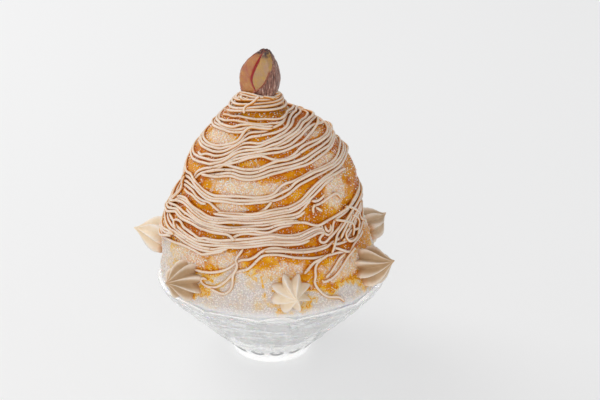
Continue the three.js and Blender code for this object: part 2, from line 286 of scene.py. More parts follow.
class Finish:
    """A material and its nodes."""

    def __init__(self, name):
        self.material = bpy.data.materials.new(name)
        self.material.use_nodes = True
        self.nodes = self.material.node_tree.nodes
        self.links = self.material.node_tree.links
        self.shader = self.nodes["Principled BSDF"]
        self.place = self.nodes.new("ShaderNodeTexCoord").outputs["Object"]

    def node(self, kind, inputs=None, **settings):
        made = self.nodes.new(kind)
        for key, value in settings.items():
            setattr(made, key, value)
        for key, value in (inputs or {}).items():
            if isinstance(value, bpy.types.NodeSocket):
                self.links.new(value, made.inputs[key])
            else:
                made.inputs[key].default_value = value
        return made

    def stretched(self, upward):
        """The place, with its heights scaled."""
        inputs = {"Vector": self.place, "Scale": (1.0, 1.0, upward)}
        return self.node("ShaderNodeMapping", inputs).outputs["Vector"]

    def noise(self, size, detail=3.0, roughness=0.55, place=None):
        """Fractal noise with lumps of a size in mm."""
        inputs = {"Scale": 1 / (size * MM), "Detail": detail, "Roughness": roughness}
        return self.node("ShaderNodeTexNoise", {"Vector": place or self.place, **inputs}).outputs["Fac"]

    def cells(self, size):
        """The distance from the middle of the nearest of many cells of a size in mm."""
        inputs = {"Vector": self.place, "Scale": 1 / (size * MM)}
        return self.node("ShaderNodeTexVoronoi", inputs).outputs["Distance"]

    def share(self, name):
        return self.node("ShaderNodeAttribute", attribute_name=name).outputs["Fac"]

    def math(self, operation, a, b=0.0, clamp=False):
        return self.node("ShaderNodeMath", {0: a, 1: b}, operation=operation, use_clamp=clamp).outputs[0]

    def plus(self, a, b, clamp=False):
        return self.math("ADD", a, b, clamp)

    def minus(self, a, b):
        return self.math("SUBTRACT", a, b)

    def times(self, a, b, clamp=False):
        return self.math("MULTIPLY", a, b, clamp)

    def crease(self, noise):
        """0 along the lines where a noise crosses its middle."""
        return self.math("ABSOLUTE", self.minus(noise, 0.5))

    def span(self, value, low, high, to_low=0.0, to_high=1.0):
        inputs = {"Value": value, "From Min": low, "From Max": high, "To Min": to_low, "To Max": to_high}
        return self.node("ShaderNodeMapRange", inputs, interpolation_type="SMOOTHSTEP").outputs["Result"]

    def mix(self, share, a, b):
        return self.node("ShaderNodeMix", {0: share, 6: a, 7: b}, data_type="RGBA").outputs[2]

    def ramp(self, value, stops):
        made = self.node("ShaderNodeValToRGB", {"Fac": value})
        bar = made.color_ramp.elements
        while len(bar) < len(stops):
            bar.new(1.0)
        for element, (at, colour) in zip(bar, stops):
            element.position = at
            element.color = colour
        return made.outputs["Color"]

    def set(self, **values):
        """Sets the shader's own sockets: a socket is linked, and a value is set."""
        for key, value in values.items():
            socket = self.shader.inputs[key.replace("_", " ")]
            if isinstance(value, bpy.types.NodeSocket):
                self.links.new(value, socket)
            else:
                socket.default_value = value

    def bump(self, height, distance, strength=1.0, before=None):
        inputs = {"Height": height, "Distance": distance * MM, "Strength": strength}
        if before is not None:
            inputs["Normal"] = before
        return self.node("ShaderNodeBump", inputs).outputs["Normal"]


def glass_finish():
    f = Finish("hand_rippled_glass")
    painted_glow, painted_ring_shade = f.share("painted_glow"), f.share("thumbprint_edge_shade")
    flat = f.stretched(3.2)
    streak = f.noise(17, 3, 0.55, flat)
    painted_fold_shade = f.crease(f.noise(14, 3, 0.5, flat))
    clear = f.mix(f.span(streak, 0.34, 0.66), (0.96, 0.955, 0.945, 1), (1.0, 0.998, 0.99, 1))
    # Painted shade: grey lines along the creases of the ripples stand for dark refraction.
    clear = f.mix(f.span(painted_fold_shade, 0.0, 0.022, 0.55, 0.0), clear, (0.58, 0.59, 0.59, 1))
    # Painted shade: a near-black outline round each thumbprint.
    f.set(Base_Color=f.mix(painted_ring_shade, clear, (0.01, 0.015, 0.02, 1)))
    # Painted light: cloudy white streaks as bright refraction, a highlight where the rim and foot gather
    # light, and near-black shade round a thumbprint.
    milky_painted_light = f.math("MAXIMUM", painted_glow, f.times(f.span(streak, 0.47, 0.59), 0.75))
    milky_painted_light = f.math("MAXIMUM", milky_painted_light, painted_ring_shade)
    # Painted light: the rim and the foot shine with emission, though no lamp is there.
    f.set(Emission_Color=f.mix(painted_glow, (0, 0, 0, 1), (1, 1, 1, 1)), Emission_Strength=0.33)
    f.set(Transmission_Weight=f.span(milky_painted_light, 0.0, 1.0, 0.82, 0.1))
    f.set(Roughness=0.04, IOR=1.46, Alpha=0.56)
    f.set(Normal=f.bump(f.noise(3, 2, 0.5, flat), 0.1, 0.6, f.bump(streak, 1.1, 0.8)))
    return f.material


def ice_finish():
    f = Finish("syruped_shaved_ice")
    syrup, frost, pooled_syrup_and_shade, inside = (f.share(n) for n in ("syrup", "frost", "pooled_syrup_and_shade", "inside"))
    patch = f.noise(9, 4, 0.6)
    grain = f.noise(1.2, 3, 0.7)
    bead = f.span(f.cells(1.2), 0.12, 0.62, 1.0, 0.0)          # 1 in the middle of a grain of ice
    vein = f.crease(f.noise(6.5, 5, 0.62))
    # How wet the ice is with syrup, in patches, grains and, at the edge of the syrup, in veins.
    wet = f.plus(syrup, f.times(f.minus(patch, 0.5), 0.9))
    wet = f.plus(wet, f.times(f.minus(grain, 0.5), 0.32))
    edge = f.times(f.span(syrup, 0.12, 0.35), f.span(syrup, 0.5, 0.75, 1.0, 0.0))
    wet = f.plus(wet, f.times(f.span(vein, 0.0, 0.05, 0.5, 0.0), edge))
    # Near the cream the ice turns deeper amber: partly syrup that pools there, partly painted shade between
    # the strands.
    wet = f.plus(wet, f.times(pooled_syrup_and_shade, 0.38), True)
    amber = f.ramp(wet, [
        (0.0, srgb(227, 218, 212)),
        (0.14, srgb(231, 211, 192)),
        (0.33, srgb(238, 200, 122)),
        (0.5, srgb(238, 180, 50)),
        (0.68, srgb(230, 156, 6)),
        (0.85, srgb(216, 134, 0)),
        (1.0, srgb(194, 100, 0)),
    ])
    # White rime and crumbs lie over it, and dry ice is painted darker between its grains, as shade.
    white = f.plus(f.times(grain, 0.75), f.times(bead, 0.5))
    spread = f.times(f.minus(f.noise(5, 4, 0.6), 0.5), 1.0)
    frost = f.span(f.plus(frost, spread), 0.26, 0.78)
    colour = f.mix(f.times(frost, 0.62), amber, srgb(240, 212, 188))
    rime = f.times(frost, f.span(white, 0.42, 0.74), True)
    crumb = f.times(f.span(white, 0.64, 0.82), f.span(f.noise(3.4, 2), 0.4, 0.6, 0.0, 0.6))
    dry = f.span(wet, 0.1, 0.4, 1.0, 0.0)
    # Painted shade: dry ice is darker in the hollows between its grains.
    hollow = f.times(dry, f.span(white, 0.34, 0.58, 0.45, 0.0))
    colour = f.mix(hollow, colour, srgb(196, 180, 170))
    crumb = f.math("MAXIMUM", crumb, f.times(dry, f.span(white, 0.52, 0.76, 0.0, 0.9)))
    colour = f.mix(f.math("MAXIMUM", rime, crumb), colour, srgb(250, 241, 231))
    # Painted light: the ice inside the bowl is near-white, brighter than the ice above, for light that the
    # glass keeps from it.
    colour = f.mix(inside, colour, srgb(250, 250, 250))
    rough = f.plus(0.34, f.times(rime, 0.3), True)
    f.set(Base_Color=colour, Roughness=rough, IOR=1.33, Specular_IOR_Level=0.2)
    f.set(Subsurface_Weight=0.2, Subsurface_Scale=0.002)
    f.set(Subsurface_Radius=(1.0, 0.6, 0.3))
    rough_ice = f.bump(f.noise(1.0, 3, 0.65), 0.45, 0.75)
    f.set(Normal=f.bump(bead, 0.34, 0.8, rough_ice))
    return f.material


def cream_finish():
    f = Finish("piped_chestnut_cream")
    soaked_and_shade = f.share("soaked_and_shade")
    tone = f.noise(14, 3)
    grain = f.noise(0.7, 3, 0.7)
    fleck = f.span(f.noise(1.1, 1, 0.4), 0.7, 0.75)
    colour = f.mix(f.span(tone, 0.3, 0.7), srgb(234, 215, 196), srgb(244, 231, 219))
    colour = f.mix(f.times(f.span(grain, 0.35, 0.65), 0.3), colour, srgb(222, 188, 154))
    # Where syrup soaks in the cream turns amber; on the side of each strand towards the ice this is also
    # painted shade and warm bounced light.
    wet = f.plus(soaked_and_shade, f.times(f.minus(tone, 0.5), 0.4), True)
    colour = f.mix(f.span(wet, 0.0, 0.6), colour, srgb(226, 162, 76))
    colour = f.mix(f.span(wet, 0.4, 1.0), colour, srgb(188, 106, 0))
    colour = f.mix(f.times(fleck, 0.75), colour, srgb(140, 90, 56))
    f.set(Base_Color=colour, Roughness=f.span(grain, 0.3, 0.7, 0.34, 0.54), Subsurface_Weight=0.15)
    f.set(Subsurface_Scale=0.001, Subsurface_Radius=(1.0, 0.5, 0.25), Specular_IOR_Level=0.4)
    f.set(Normal=f.bump(grain, 0.28, 0.8))
    return f.material


def meringue_finish():
    f = Finish("baked_meringue")
    crest, base, bake_and_shade = f.share("crest"), f.share("base"), f.share("bake_and_shade")
    grain = f.noise(0.8, 3, 0.6)
    tone = f.span(f.noise(11, 2), 0.3, 0.7)
    pale = f.mix(tone, srgb(249, 239, 228), srgb(245, 231, 216))
    cream = f.mix(tone, srgb(245, 228, 204), srgb(237, 216, 186))
    tan = f.mix(tone, srgb(176, 129, 68), srgb(153, 110, 53))
    # Painted light: the crests are painted paler, as highlight, and the valleys darker, as shade; the more
    # browned or shaded a kiss, the tanner its valleys.
    between = f.mix(bake_and_shade, cream, tan)
    ridge = f.mix(f.times(bake_and_shade, 0.4), pale, srgb(232, 208, 176))
    colour = f.mix(f.span(crest, 0.45, 0.95), between, ridge)
    stained = f.times(base, f.span(f.noise(5, 3), 0.3, 0.62), True)
    colour = f.mix(stained, colour, srgb(202, 134, 52))
    f.set(Base_Color=colour, Roughness=f.span(grain, 0.3, 0.7, 0.5, 0.7), Subsurface_Weight=0.1)
    f.set(Subsurface_Scale=0.002, Subsurface_Radius=(1.0, 0.6, 0.4), Normal=f.bump(grain, 0.1, 0.4))
    return f.material


def chestnut_finish():
    f = Finish("candied_chestnut")
    cut, seam, right, rim, low, tip = (f.share(n) for n in ("cut", "seam", "right", "rim", "low", "tip"))
    cloud = f.noise(6, 3)
    grain = f.noise(0.8, 3, 0.65)
    left_flesh = f.ramp(cloud, [
        (0.3, srgb(194, 136, 68)), (0.5, srgb(184, 118, 62)), (0.66, srgb(172, 92, 64)),
    ])
    right_flesh = f.ramp(cloud, [
        (0.3, srgb(194, 146, 56)), (0.5, srgb(180, 138, 80)), (0.68, srgb(174, 134, 102)),
    ])
    flesh = f.mix(right, left_flesh, right_flesh)
    flesh = f.mix(f.span(seam, 0.15, 0.6), flesh, srgb(160, 0, 6))
    fibre = f.noise(1.1, 4, 0.7, f.stretched(0.16))
    skin = f.ramp(fibre, [
        (0.36, srgb(62, 28, 20)), (0.46, srgb(122, 74, 58)), (0.58, srgb(164, 118, 100)),
        (0.7, srgb(216, 186, 170)),
    ])
    skin = f.mix(f.times(low, 0.85), skin, srgb(62, 26, 16))
    colour = f.mix(f.times(rim, 0.8), f.mix(cut, skin, flesh), srgb(146, 58, 22))
    colour = f.mix(f.times(tip, f.span(f.noise(1.8, 3), 0.35, 0.6)), colour, srgb(54, 24, 22))
    rough = f.minus(0.5, f.times(cut, 0.2))
    f.set(Base_Color=colour, Roughness=rough, Subsurface_Weight=0.15, Subsurface_Scale=0.002)
    f.set(Coat_Weight=0.3, Coat_Roughness=0.16)
    f.set(Normal=f.bump(fibre, 0.5, 0.8, f.bump(grain, 0.12, 0.5)))
    return f.material


def crystal_finish():
    f = Finish("loose_ice_crystals")
    tint = f.span(f.noise(12, 2), 0.35, 0.65)
    f.set(Base_Color=f.mix(tint, srgb(246, 240, 234), srgb(238, 216, 196)), Roughness=0.16, IOR=1.31)
    f.set(Subsurface_Weight=0.3, Subsurface_Scale=0.001)
    f.set(Normal=f.bump(f.noise(0.5, 2), 0.08, 0.5))
    return f.material


def floor_finish():
    f = Finish("pale_table")
    f.set(Base_Color=(0.42, 0.42, 0.42, 1), Roughness=0.45, Specular_IOR_Level=0.3)
    f.set(Emission_Color=(1, 1, 1, 1), Emission_Strength=0.465)
    return f.material


def dress(piece, material):
    piece.data.materials.clear()
    piece.data.materials.append(material)


# ------------------------------------------------------------------ camera, light and floor

CAMERA_DISTANCE = 1241.2       # level distance from the bowl's axis to the camera
CAMERA_HEIGHT = 647.7
CAMERA_PITCH = 23.386          # degrees that it looks down
CAMERA_YAW = 0.907             # degrees that it looks to the right of the axis
CAMERA_LENS = 119.24
WARM = (1.0, 0.99, 0.97)
WHITE = (1.0, 1.0, 1.0)


def area_light(name, place, aim, size, power, colour):
    data = bpy.data.lights.new(name, "AREA")
    data.shape = "RECTANGLE"
    data.size, data.size_y = size
    data.energy = power
    data.color = colour
    lamp = bpy.data.objects.new(name, data)
    lamp.location = place
    lamp.visible_camera = False
    lamp.rotation_euler = (Vector(aim) - Vector(place)).to_track_quat("-Z", "Y").to_euler()
    bpy.context.scene.collection.objects.link(lamp)


def set_the_stage():
    scene = bpy.context.scene
    data = bpy.data.cameras.new("camera")
    data.sensor_width = 36.0
    data.lens = CAMERA_LENS
    data.clip_end = 50.0
    camera = bpy.data.objects.new("camera", data)
    camera.location = (0, -CAMERA_DISTANCE * MM, CAMERA_HEIGHT * MM)
    camera.rotation_euler = (math.radians(90 - CAMERA_PITCH), 0, -math.radians(CAMERA_YAW))
    scene.collection.objects.link(camera)
    scene.camera = camera

    deselect_all()
    bpy.ops.mesh.primitive_plane_add(size=40, location=(0, 0, -0.0002))
    floor = bpy.context.object
    floor.name = "table"
    dress(floor, floor_finish())

    scene.world = bpy.data.worlds.new("studio")
    scene.world.use_nodes = True
    backdrop = scene.world.node_tree.nodes["Background"]
    backdrop.inputs["Color"].default_value = (0.97, 0.98, 1.0, 1)
    backdrop.inputs["Strength"].default_value = 0.535

    # A large window behind on the left, a soft light over the camera and a low card under it.
    dome, bowl = (0, 0, 0.08), (0, 0, 0.04)
    area_light("window", (-1.1, 0.9, 1.3), dome, size=(1.4, 1.2), power=16, colour=WARM)
    area_light("softbox", (-0.15, -1.55, 1.1), dome, size=(1.4, 1.2), power=5.8, colour=WARM)
    area_light("low_card", (-0.5, -2.55, 0.5), bowl, size=(2.4, 0.7), power=10.0, colour=WHITE)
    scene.view_settings.view_transform = "Standard"
    scene.view_settings.look = "None"
    scene.view_settings.exposure = 0.0


# ------------------------------------------------------------------ the glass bowl

def lobe(azimuth):
    """0 at a notch of the rim and 1 at the crest of a lobe."""
    notches = np.array(RIM_NOTCHES + [RIM_NOTCHES[0] + 360], float)
    at = np.where(azimuth < notches[0], azimuth + 360, azimuth)
    i = np.clip(np.searchsorted(notches, at, side="right") - 1, 0, len(notches) - 2)
    share = (at - notches[i]) / (notches[i + 1] - notches[i])
    return np.sin(np.pi * np.clip(share, 0, 1)) ** 0.6


def make_bowl():
    flare = slice(3, 11)          # the outside of the foot and what is over it, with the thumbprints
    profile = BOWL_PROFILE[:flare.start] + finer(BOWL_PROFILE[flare], step=0.42)[:-1]
    profile += finer(BOWL_PROFILE[flare.stop - 1:], step=1.5)
    bowl = spun("rippled_glass_bowl", profile, steps=360)
    p = points_of(bowl)
    radius = np.hypot(p[:, 0], p[:, 1])
    azimuth = azimuth_of(p)
    outer = p[:, 2] < np.interp(radius, [0, 21, 76.5], [5, 5, 57.5])
    notch = (1 - lobe(azimuth)) * smoothstep(p[:, 2], RIM_HEIGHT / 2, RIM_HEIGHT)
    apart = 360 / THUMBPRINTS
    across = ((azimuth - THUMBPRINT_TURN + apart / 2) % apart - apart / 2) / THUMBPRINT_HALF_WIDE
    oval = np.hypot(across, (p[:, 2] - THUMBPRINT_HEIGHT) / THUMBPRINT_HALF_TALL)    # 1 at its edge
    oval = np.where(outer & (radius > FOOT_RADIUS - 1), oval, 9)
    dimple = THUMBPRINT_DEPTH * (1 - smoothstep(oval, 0.4, 1.05))
    # Flat, irregular ripples run round the outside, as from a hand-worked mould.
    a = np.radians(azimuth)
    flat = xyz(np.sin(a) * 55, -np.cos(a) * 55, p[:, 2] * 3.2)
    ripple = (fractal(flat, 11, 3, 2.0) + 0.4 * fractal(flat, 4, 2, 8.0)) * smoothstep(p[:, 2], 8, 20)
    ripple *= np.where(outer, 0.95, 0.15)
    ripple *= 1 - 0.6 * smoothstep(p[:, 2], 55, 60)
    scale = (radius - NOTCH_TUCK * notch - dimple + ripple) / np.maximum(radius, 1e-6)
    scale = np.where(radius < 1e-3, 1, np.minimum(scale, WIDEST / np.maximum(radius, 1e-6)))
    uneven = 0.35 * (np.sin(np.radians(azimuth * 7 + 40)) - 1) * smoothstep(p[:, 2], 50, 60)
    height = p[:, 2] - NOTCH_DEPTH * notch + uneven
    set_points(bowl, xyz(p[:, 0] * scale, p[:, 1] * scale, height))
    # Painted light: the top of the rim and the bottom of the foot, away from the thumbprints, are marked to
    # shine as a highlight.
    painted_foot_glow = np.where(outer & (oval > 1.15), 0.8 * (1 - smoothstep(p[:, 2], 4, 12)), 0)
    set_share(bowl, "painted_glow", np.maximum(smoothstep(p[:, 2], 59.2, 59.85), painted_foot_glow))
    # Painted shade: the outline round each thumbprint is marked near-black.
    set_share(bowl, "thumbprint_edge_shade", smoothstep(oval, 0.42, 0.64) * (1 - smoothstep(oval, 0.95, 1.12)))
    smooth(bowl)
    dress(bowl, glass_finish())
    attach(bowl, "root")
    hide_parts("glass_bowl")


# ------------------------------------------------------------------ the cream's routes

# The strands across the front, from the top down, each as (azimuth, height) stops. Those that go
# round the back run from left to right.
FRONT_STRANDS = [
    [(-85, 174), (-72, 175.4), (-61, 176.1), (-50, 177), (-42, 177.6), (-34, 177.7), (-20, 177.6),
     (-5, 177.5), (10, 177.4), (24, 177), (34, 176.7), (48, 176.5), (62, 176.6), (80, 176.4), (100, 175.8)],
    [(-85, 171.3), (-76, 172.4), (-66, 173.1), (-58, 174.2), (-50, 175), (-42, 175.4), (-35, 175.6),
     (-20, 175.6), (-5, 175.7), (10, 175.8), (20, 175.9), (30, 176.1)],
    [(-88, 170), (-76, 170.6), (-64, 170.9), (-56, 171.1), (-48, 171.4), (-43.5, 172.1), (-40.5, 173.2),
     (-37, 174.1), (-30, 174.5), (-20, 174.6), (-10, 174.5), (0, 174.2), (8, 174.4)],
    [(-90, 167.6), (-80, 168.7), (-70, 169.4), (-60, 169.9), (-52, 170.4), (-43, 170.8), (-36.5, 171.7),
     (-31, 172.7), (-26, 173.6), (-20, 174), (-10, 173.8), (0, 173.4)],
    [(-85, 166.6), (-72, 167.8), (-60, 168.7), (-52.5, 168.9), (-45, 169.2), (-37, 169.9), (-32, 170.7),
     (-27, 171.8), (-22, 172.6)],
    [(-80, 159), (-60, 159.8), (-50, 161.2), (-42, 163.2), (-37, 164.4), (-33.5, 166), (-31, 168.3),
     (-29, 170.2), (-26, 172), (-20, 173.3), (-10, 173.4), (0, 173.2), (6, 173.4)],
    [(-80, 157.4), (-60, 158.1), (-50, 159.4), (-42, 161.6), (-36, 163.4), (-31.5, 166.2), (-28, 169),
     (-23, 171.2), (-16, 172.1), (-10, 172.4), (-2, 172.9), (4, 173.9), (12, 174.5), (20, 175.1),
     (28, 175.7), (38, 176.2), (52, 176.4), (70, 176), (100, 175.4)],
    [(-78, 155.8), (-60, 156.3), (-50, 157.3), (-40, 160), (-33, 163), (-28, 166.4), (-20, 169.3),
     (-11, 170.4), (-4, 171), (4, 171.6), (12, 172.4), (20, 173.4), (28, 174.3), (36, 175), (45, 175.3),
     (58, 175.4), (75, 175.4), (100, 175)],
    [(-74, 151.9), (-67, 152), (-62, 154), (-50, 155.2), (-40, 158), (-30, 163.8), (-20, 165.9),
     (-10, 166.4), (0, 168.4), (10, 170.3), (20, 171.8), (28, 173), (36, 174), (45, 174.6), (55, 174.8),
     (70, 174.7), (100, 174.2)],
    [(-80, 149), (-70, 149.8), (-60, 151.2), (-50, 152.4), (-40, 155.6), (-30, 161.9), (-20, 163.9),
     (-10, 165), (0, 167), (10, 168.6), (20, 170.3), (28, 171.5), (36, 172.6), (44, 173.4), (54, 173.8),
     (68, 173.8), (100, 173.1)],
    [(-80, 146.4), (-68, 147.5), (-60, 149), (-50, 150), (-40, 153.4), (-30, 160), (-20, 162.1),
     (-10, 163.3), (0, 165), (10, 166.4), (20, 168.8), (28, 170), (36, 171.2), (44, 172.2), (54, 172.8),
     (68, 172.9), (85, 172.6), (105, 171.9)],
    [(4, 164.6), (12, 165.9), (20, 167.2), (28, 168.6), (36, 169.9), (44, 171), (54, 171.7), (66, 172),
     (80, 171.8), (98, 170.8)],
    [(-62.5, 138.6), (-61, 143), (-56, 146), (-50, 147.8), (-40, 151.6), (-30, 157.9), (-20, 160.3),
     (-10, 161.8), (0, 163.4), (10, 164), (20, 165.2), (28, 166.8), (36, 168.3), (44, 169.7), (50, 170.4),
     (58, 170.8), (66, 170.5), (74, 169.6), (84, 168), (96, 165.5)],
    [(-60.5, 138), (-57.5, 142), (-50, 145.8), (-40, 150.4), (-30, 155.9), (-20, 158.7), (-10, 160.2),
     (0, 161.2), (10, 161.8), (20, 163), (30, 164.4), (40, 166.2), (50, 168), (62, 169.4), (80, 170.3)],
    [(-36, 151.5), (-30, 154.2), (-20, 157.3), (-10, 159.3), (-5, 159.4), (0, 158.4), (6, 157.7),
     (15, 158.1), (22, 159.8), (30, 162.2), (40, 163.4), (60, 163.8), (80, 163.5)],
    [(-46, 149), (-36, 152), (-30, 152.2), (-20, 151.8), (-10, 152.9), (0, 155.7), (7, 157), (15, 157.2),
     (24, 158.9), (32, 160.8), (42, 161.8), (60, 162.3), (80, 162)],
    [(-50, 145.4), (-40, 148.6), (-30, 150.6), (-20, 150), (-10, 150.9), (0, 153.8), (10, 155), (20, 155.8),
     (30, 157), (40, 158.9), (50, 160), (65, 160.6), (80, 160.4)],
    [(-50, 143.4), (-40, 146.4), (-30, 148.8), (-20, 148), (-10, 148.8), (0, 151.6), (10, 152.9),
     (20, 153.8), (30, 155), (40, 157), (50, 158.4), (65, 158.9), (82, 159.2)],
    [(-53, 143), (-40, 144.7), (-30, 147), (-20, 146.3), (-10, 147), (0, 149.5), (10, 151), (20, 152),
     (30, 153.1), (40, 154.9), (50, 156.2), (60, 157), (75, 158), (88, 158)],
    [(-80, 137), (-68, 138.7), (-61, 138.2), (-54, 136.4), (-45, 134.9), (-38, 134.4), (-30, 135.6),
     (-20, 136.3), (-10, 136.3), (0, 137.3), (3.5, 138.8), (7.5, 142), (12, 144), (17, 144.8), (24, 146.8),
     (32, 149), (42, 150), (60, 150.8), (68, 152), (80, 153)],
    [(-80, 134.5), (-68, 136.3), (-58, 136.2), (-50, 134.8), (-40, 132.6), (-30, 133.8), (-20, 133.9),
     (-10, 134.6), (0, 136), (5, 137.8), (10, 139.7), (14, 141.2), (18, 143.9), (23, 145.6), (32, 147.6),
     (42, 148.6), (60, 149.3), (80, 149.8)],
    [(-80, 131.5), (-68, 133.2), (-58, 133.8), (-50, 133.1), (-40, 130.9), (-30, 132), (-20, 132.1),
     (-10, 132.9), (0, 134.3), (5, 135.2), (10, 136.8), (15, 139), (20, 142), (25, 143.8), (32, 145.4),
     (42, 146.8), (60, 147.9), (80, 148.2)],
    [(-75, 129.5), (-66, 131.2), (-58, 131.5), (-52, 129.6), (-46, 129), (-41, 129.3), (-37.5, 127.8),
     (-34, 125.7), (-30.5, 124.2)],
    [(-72, 127.3), (-64, 128), (-57, 128.6), (-52, 127.6), (-47, 126.8), (-43, 127.6)],
    [(-14, 126), (-8, 126.6), (-4, 128.4), (-1, 131.3), (1.5, 134.2)],
    [(-33, 124.4), (-26, 125), (-18, 125.9), (-10, 126.6), (0, 128.8), (6, 129.6), (11, 130.3), (16, 131.7),
     (21, 133.8), (26, 137), (31, 139.8), (36, 142), (42, 143.8), (50, 145), (62, 146), (80, 146.6)],
    [(-36, 122.9), (-26, 123.7), (-16, 124.6), (-6, 125.6), (0, 127.2), (8, 128.4), (14, 129.3), (20, 131.6),
     (25, 134.3), (30, 137.2), (35, 139.8), (41, 142.2), (50, 143.3), (60, 143.2), (68, 142)],
    [(-85, 117), (-75, 120.8), (-65, 123.4), (-58, 123), (-50, 121.9), (-38, 120.2), (-30, 121.2),
     (-20, 122.7), (-10, 123.6), (0, 125.4), (8, 126.8), (15, 127.9), (20, 130), (25, 132.6), (30, 135),
     (36, 138), (42, 140.6), (50, 142)],
    [(-85, 115), (-75, 119), (-66, 121.4), (-58, 121.4), (-50, 120.1), (-40, 118.5), (-30, 119.4),
     (-20, 121.2), (-10, 121.9), (0, 123.3), (8, 124.6), (15, 125), (19, 125.6), (22.5, 128), (25.5, 131.2),
     (28.5, 133.6)],
    [(-85, 113), (-76, 117), (-66, 119.8), (-58, 119.8), (-50, 118.3), (-40, 116.9), (-31, 117.7),
     (-26, 119), (-20, 120), (-10, 120.4), (0, 121.6), (8, 122.6), (15, 122.6), (20, 124), (23, 126.5)],
    [(-60, 118.2), (-50, 116.8), (-40, 115.6), (-30, 116), (-20, 116.5), (-12, 118.2), (-6, 119.3),
     (0, 119.9), (6, 121), (13, 121.2), (19, 120.4)],
    [(-84, 111.5), (-72, 115), (-60, 115.6), (-50, 115.6), (-40, 114.2), (-30, 114.4), (-22, 114.9),
     (-16, 116.3), (-10, 117.2), (-3, 116.9), (1, 117.6), (6, 119.3), (11, 120), (18, 119.7), (24, 118.5),
     (29, 116), (33, 114.7), (40, 115.5), (50, 116.4), (60, 118), (72, 120.8), (84, 122.8), (96, 123.4),
     (112, 122.4)],
    [(-82, 109.6), (-70, 113.5), (-60, 113.2), (-50, 113.6), (-40, 112.7), (-30, 112.8), (-22, 113.2),
     (-16, 114.8), (-9, 115.8), (-3, 115), (1, 115), (5, 116.6), (9, 118), (15, 118.3)],
    [(-80, 107.8), (-70, 111.8), (-60, 111.6), (-50, 112), (-40, 111.5), (-30, 111.5), (-23, 111.9),
     (-19, 110.6), (-17, 109)],
    [(-20.5, 108.2), (-19, 110.2), (-16, 112.6), (-11, 113.8), (-4, 114), (2, 113.9), (8, 113), (15, 112.2),
     (22, 112.3), (28, 113.6), (34, 113.4)],
    [(-60.5, 105.2), (-63.5, 106.2), (-65.2, 107.9), (-63.4, 109.4), (-59, 109.6), (-55, 107.8),
     (-50, 106.9), (-45.5, 106.3), (-40, 105.6), (-36.5, 106.7), (-30, 107), (-22, 108.6), (-12, 110.6),
     (-4, 112), (3, 112.7), (10, 111.4), (19, 110.6), (25, 111.7), (31, 112.6), (36, 112)],
    [(-92, 115), (-84, 112.8), (-79.5, 110.6), (-76, 108.2), (-70, 107.4), (-61, 105.9), (-54.5, 105),
     (-47.5, 104.3), (-41, 104), (-34, 105.2), (-26, 106.4), (-16, 108), (-8, 109.5), (0, 111), (5, 111.4),
     (12, 110), (20, 109), (26, 110.1), (32, 111.2), (37, 110.4)],
    [(-96, 113.5), (-88, 111), (-82.5, 107.8), (-76.5, 105.4), (-71, 104.3), (-63.5, 104), (-55.5, 103.2),
     (-48, 102.6), (-40, 102.2), (-30, 103.9), (-20, 105.9), (-10, 107.6), (0, 109.2), (6, 109.5),
     (14, 108.2), (20, 107.6), (27, 109), (33, 110), (38, 108.9)],
    [(-74, 135), (-77, 131), (-80, 126), (-81.5, 121), (-83, 115.5), (-86, 110.5), (-88.5, 107), (-87, 104),
     (-80, 102.6), (-76, 101.6), (-69, 101), (-62.5, 101.7), (-55, 101.5), (-48, 101), (-40, 100.4),
     (-30, 101.6), (-22, 104.2), (-12, 106), (-2, 107.5), (5, 107.6), (13, 106.7), (20, 106.2), (26, 107.2)],
    [(-76, 136.5), (-79, 133), (-82, 128), (-83.5, 122.5), (-85, 116.5), (-88, 111.5), (-92, 107),
     (-93, 102), (-91, 97.6), (-85, 95.6), (-77, 97), (-70, 99.2), (-63, 99.9), (-56, 99.8), (-48, 99.2),
     (-40, 98.7), (-30, 99.8), (-25, 102), (-20, 103.9)],
    [(-92, 92.5), (-84, 92), (-76, 92.6), (-67.5, 93.9), (-56, 96.1), (-49, 97), (-42, 96.9), (-37, 96.1),
     (-32, 98), (-27, 100.4), (-22, 102.4)],
    [(-98, 95.5), (-90, 93.4), (-83, 93.6), (-76, 95.4), (-70, 97.4), (-65, 99.2), (-61, 100.6)],
    [(-88, 90.4), (-80, 91.2), (-73, 94.4), (-68, 96.6), (-64, 98)],
    [(-41, 84.6), (-35, 85.3), (-30, 86.3), (-25, 88.3), (-20, 91.3), (-16, 95), (-13, 97.6), (-8.5, 98.4),
     (-5, 100.4), (-2, 103.4), (2, 105.2), (6, 105.5), (11, 104.3), (16, 102.9), (23, 101.9), (31, 101.3),
     (38, 101.5)],
    [(0, 103.9), (6, 103.9), (12, 102.9), (20, 101.1), (29, 100.3), (36, 100.4), (41, 101.6), (45, 102.2),
     (49, 102.8), (52, 105.6), (56, 108.4), (61, 109.2), (68, 109.6), (80, 112)],
    [(-33, 80.6), (-35.5, 80.7), (-37, 79), (-36.2, 77), (-33.5, 75.9), (-30, 76.2), (-27, 77.4), (-24, 80),
     (-20, 84.6), (-17, 88.4), (-13.5, 90.6), (-10, 92), (-7, 94.5), (-4, 98), (-1, 100.9), (3, 101.7),
     (8, 101.2), (14, 99.3), (20, 97.6), (28, 96), (35, 95.3), (42, 94.7), (47, 93.6), (51, 92)],
    [(-11.5, 105), (-13.6, 101.4), (-15.3, 97.8), (-14.6, 94.6), (-15.4, 91.4), (-16.8, 88.4), (-17.6, 85.2),
     (-18.2, 81.6), (-19.5, 77.6), (-22, 74.2), (-25, 72.9), (-28, 74), (-30.5, 75.4)],
    [(35.5, 114.8), (36.6, 111), (38.4, 108), (41, 106.9), (43.6, 108.3), (45, 111.6), (47, 113.8),
     (51, 114.6), (60, 116.2), (72, 118.8), (84, 120.6), (98, 121)],
    [(38.6, 113.2), (39, 110.6), (40.6, 109), (42.6, 110), (43, 112.6)],
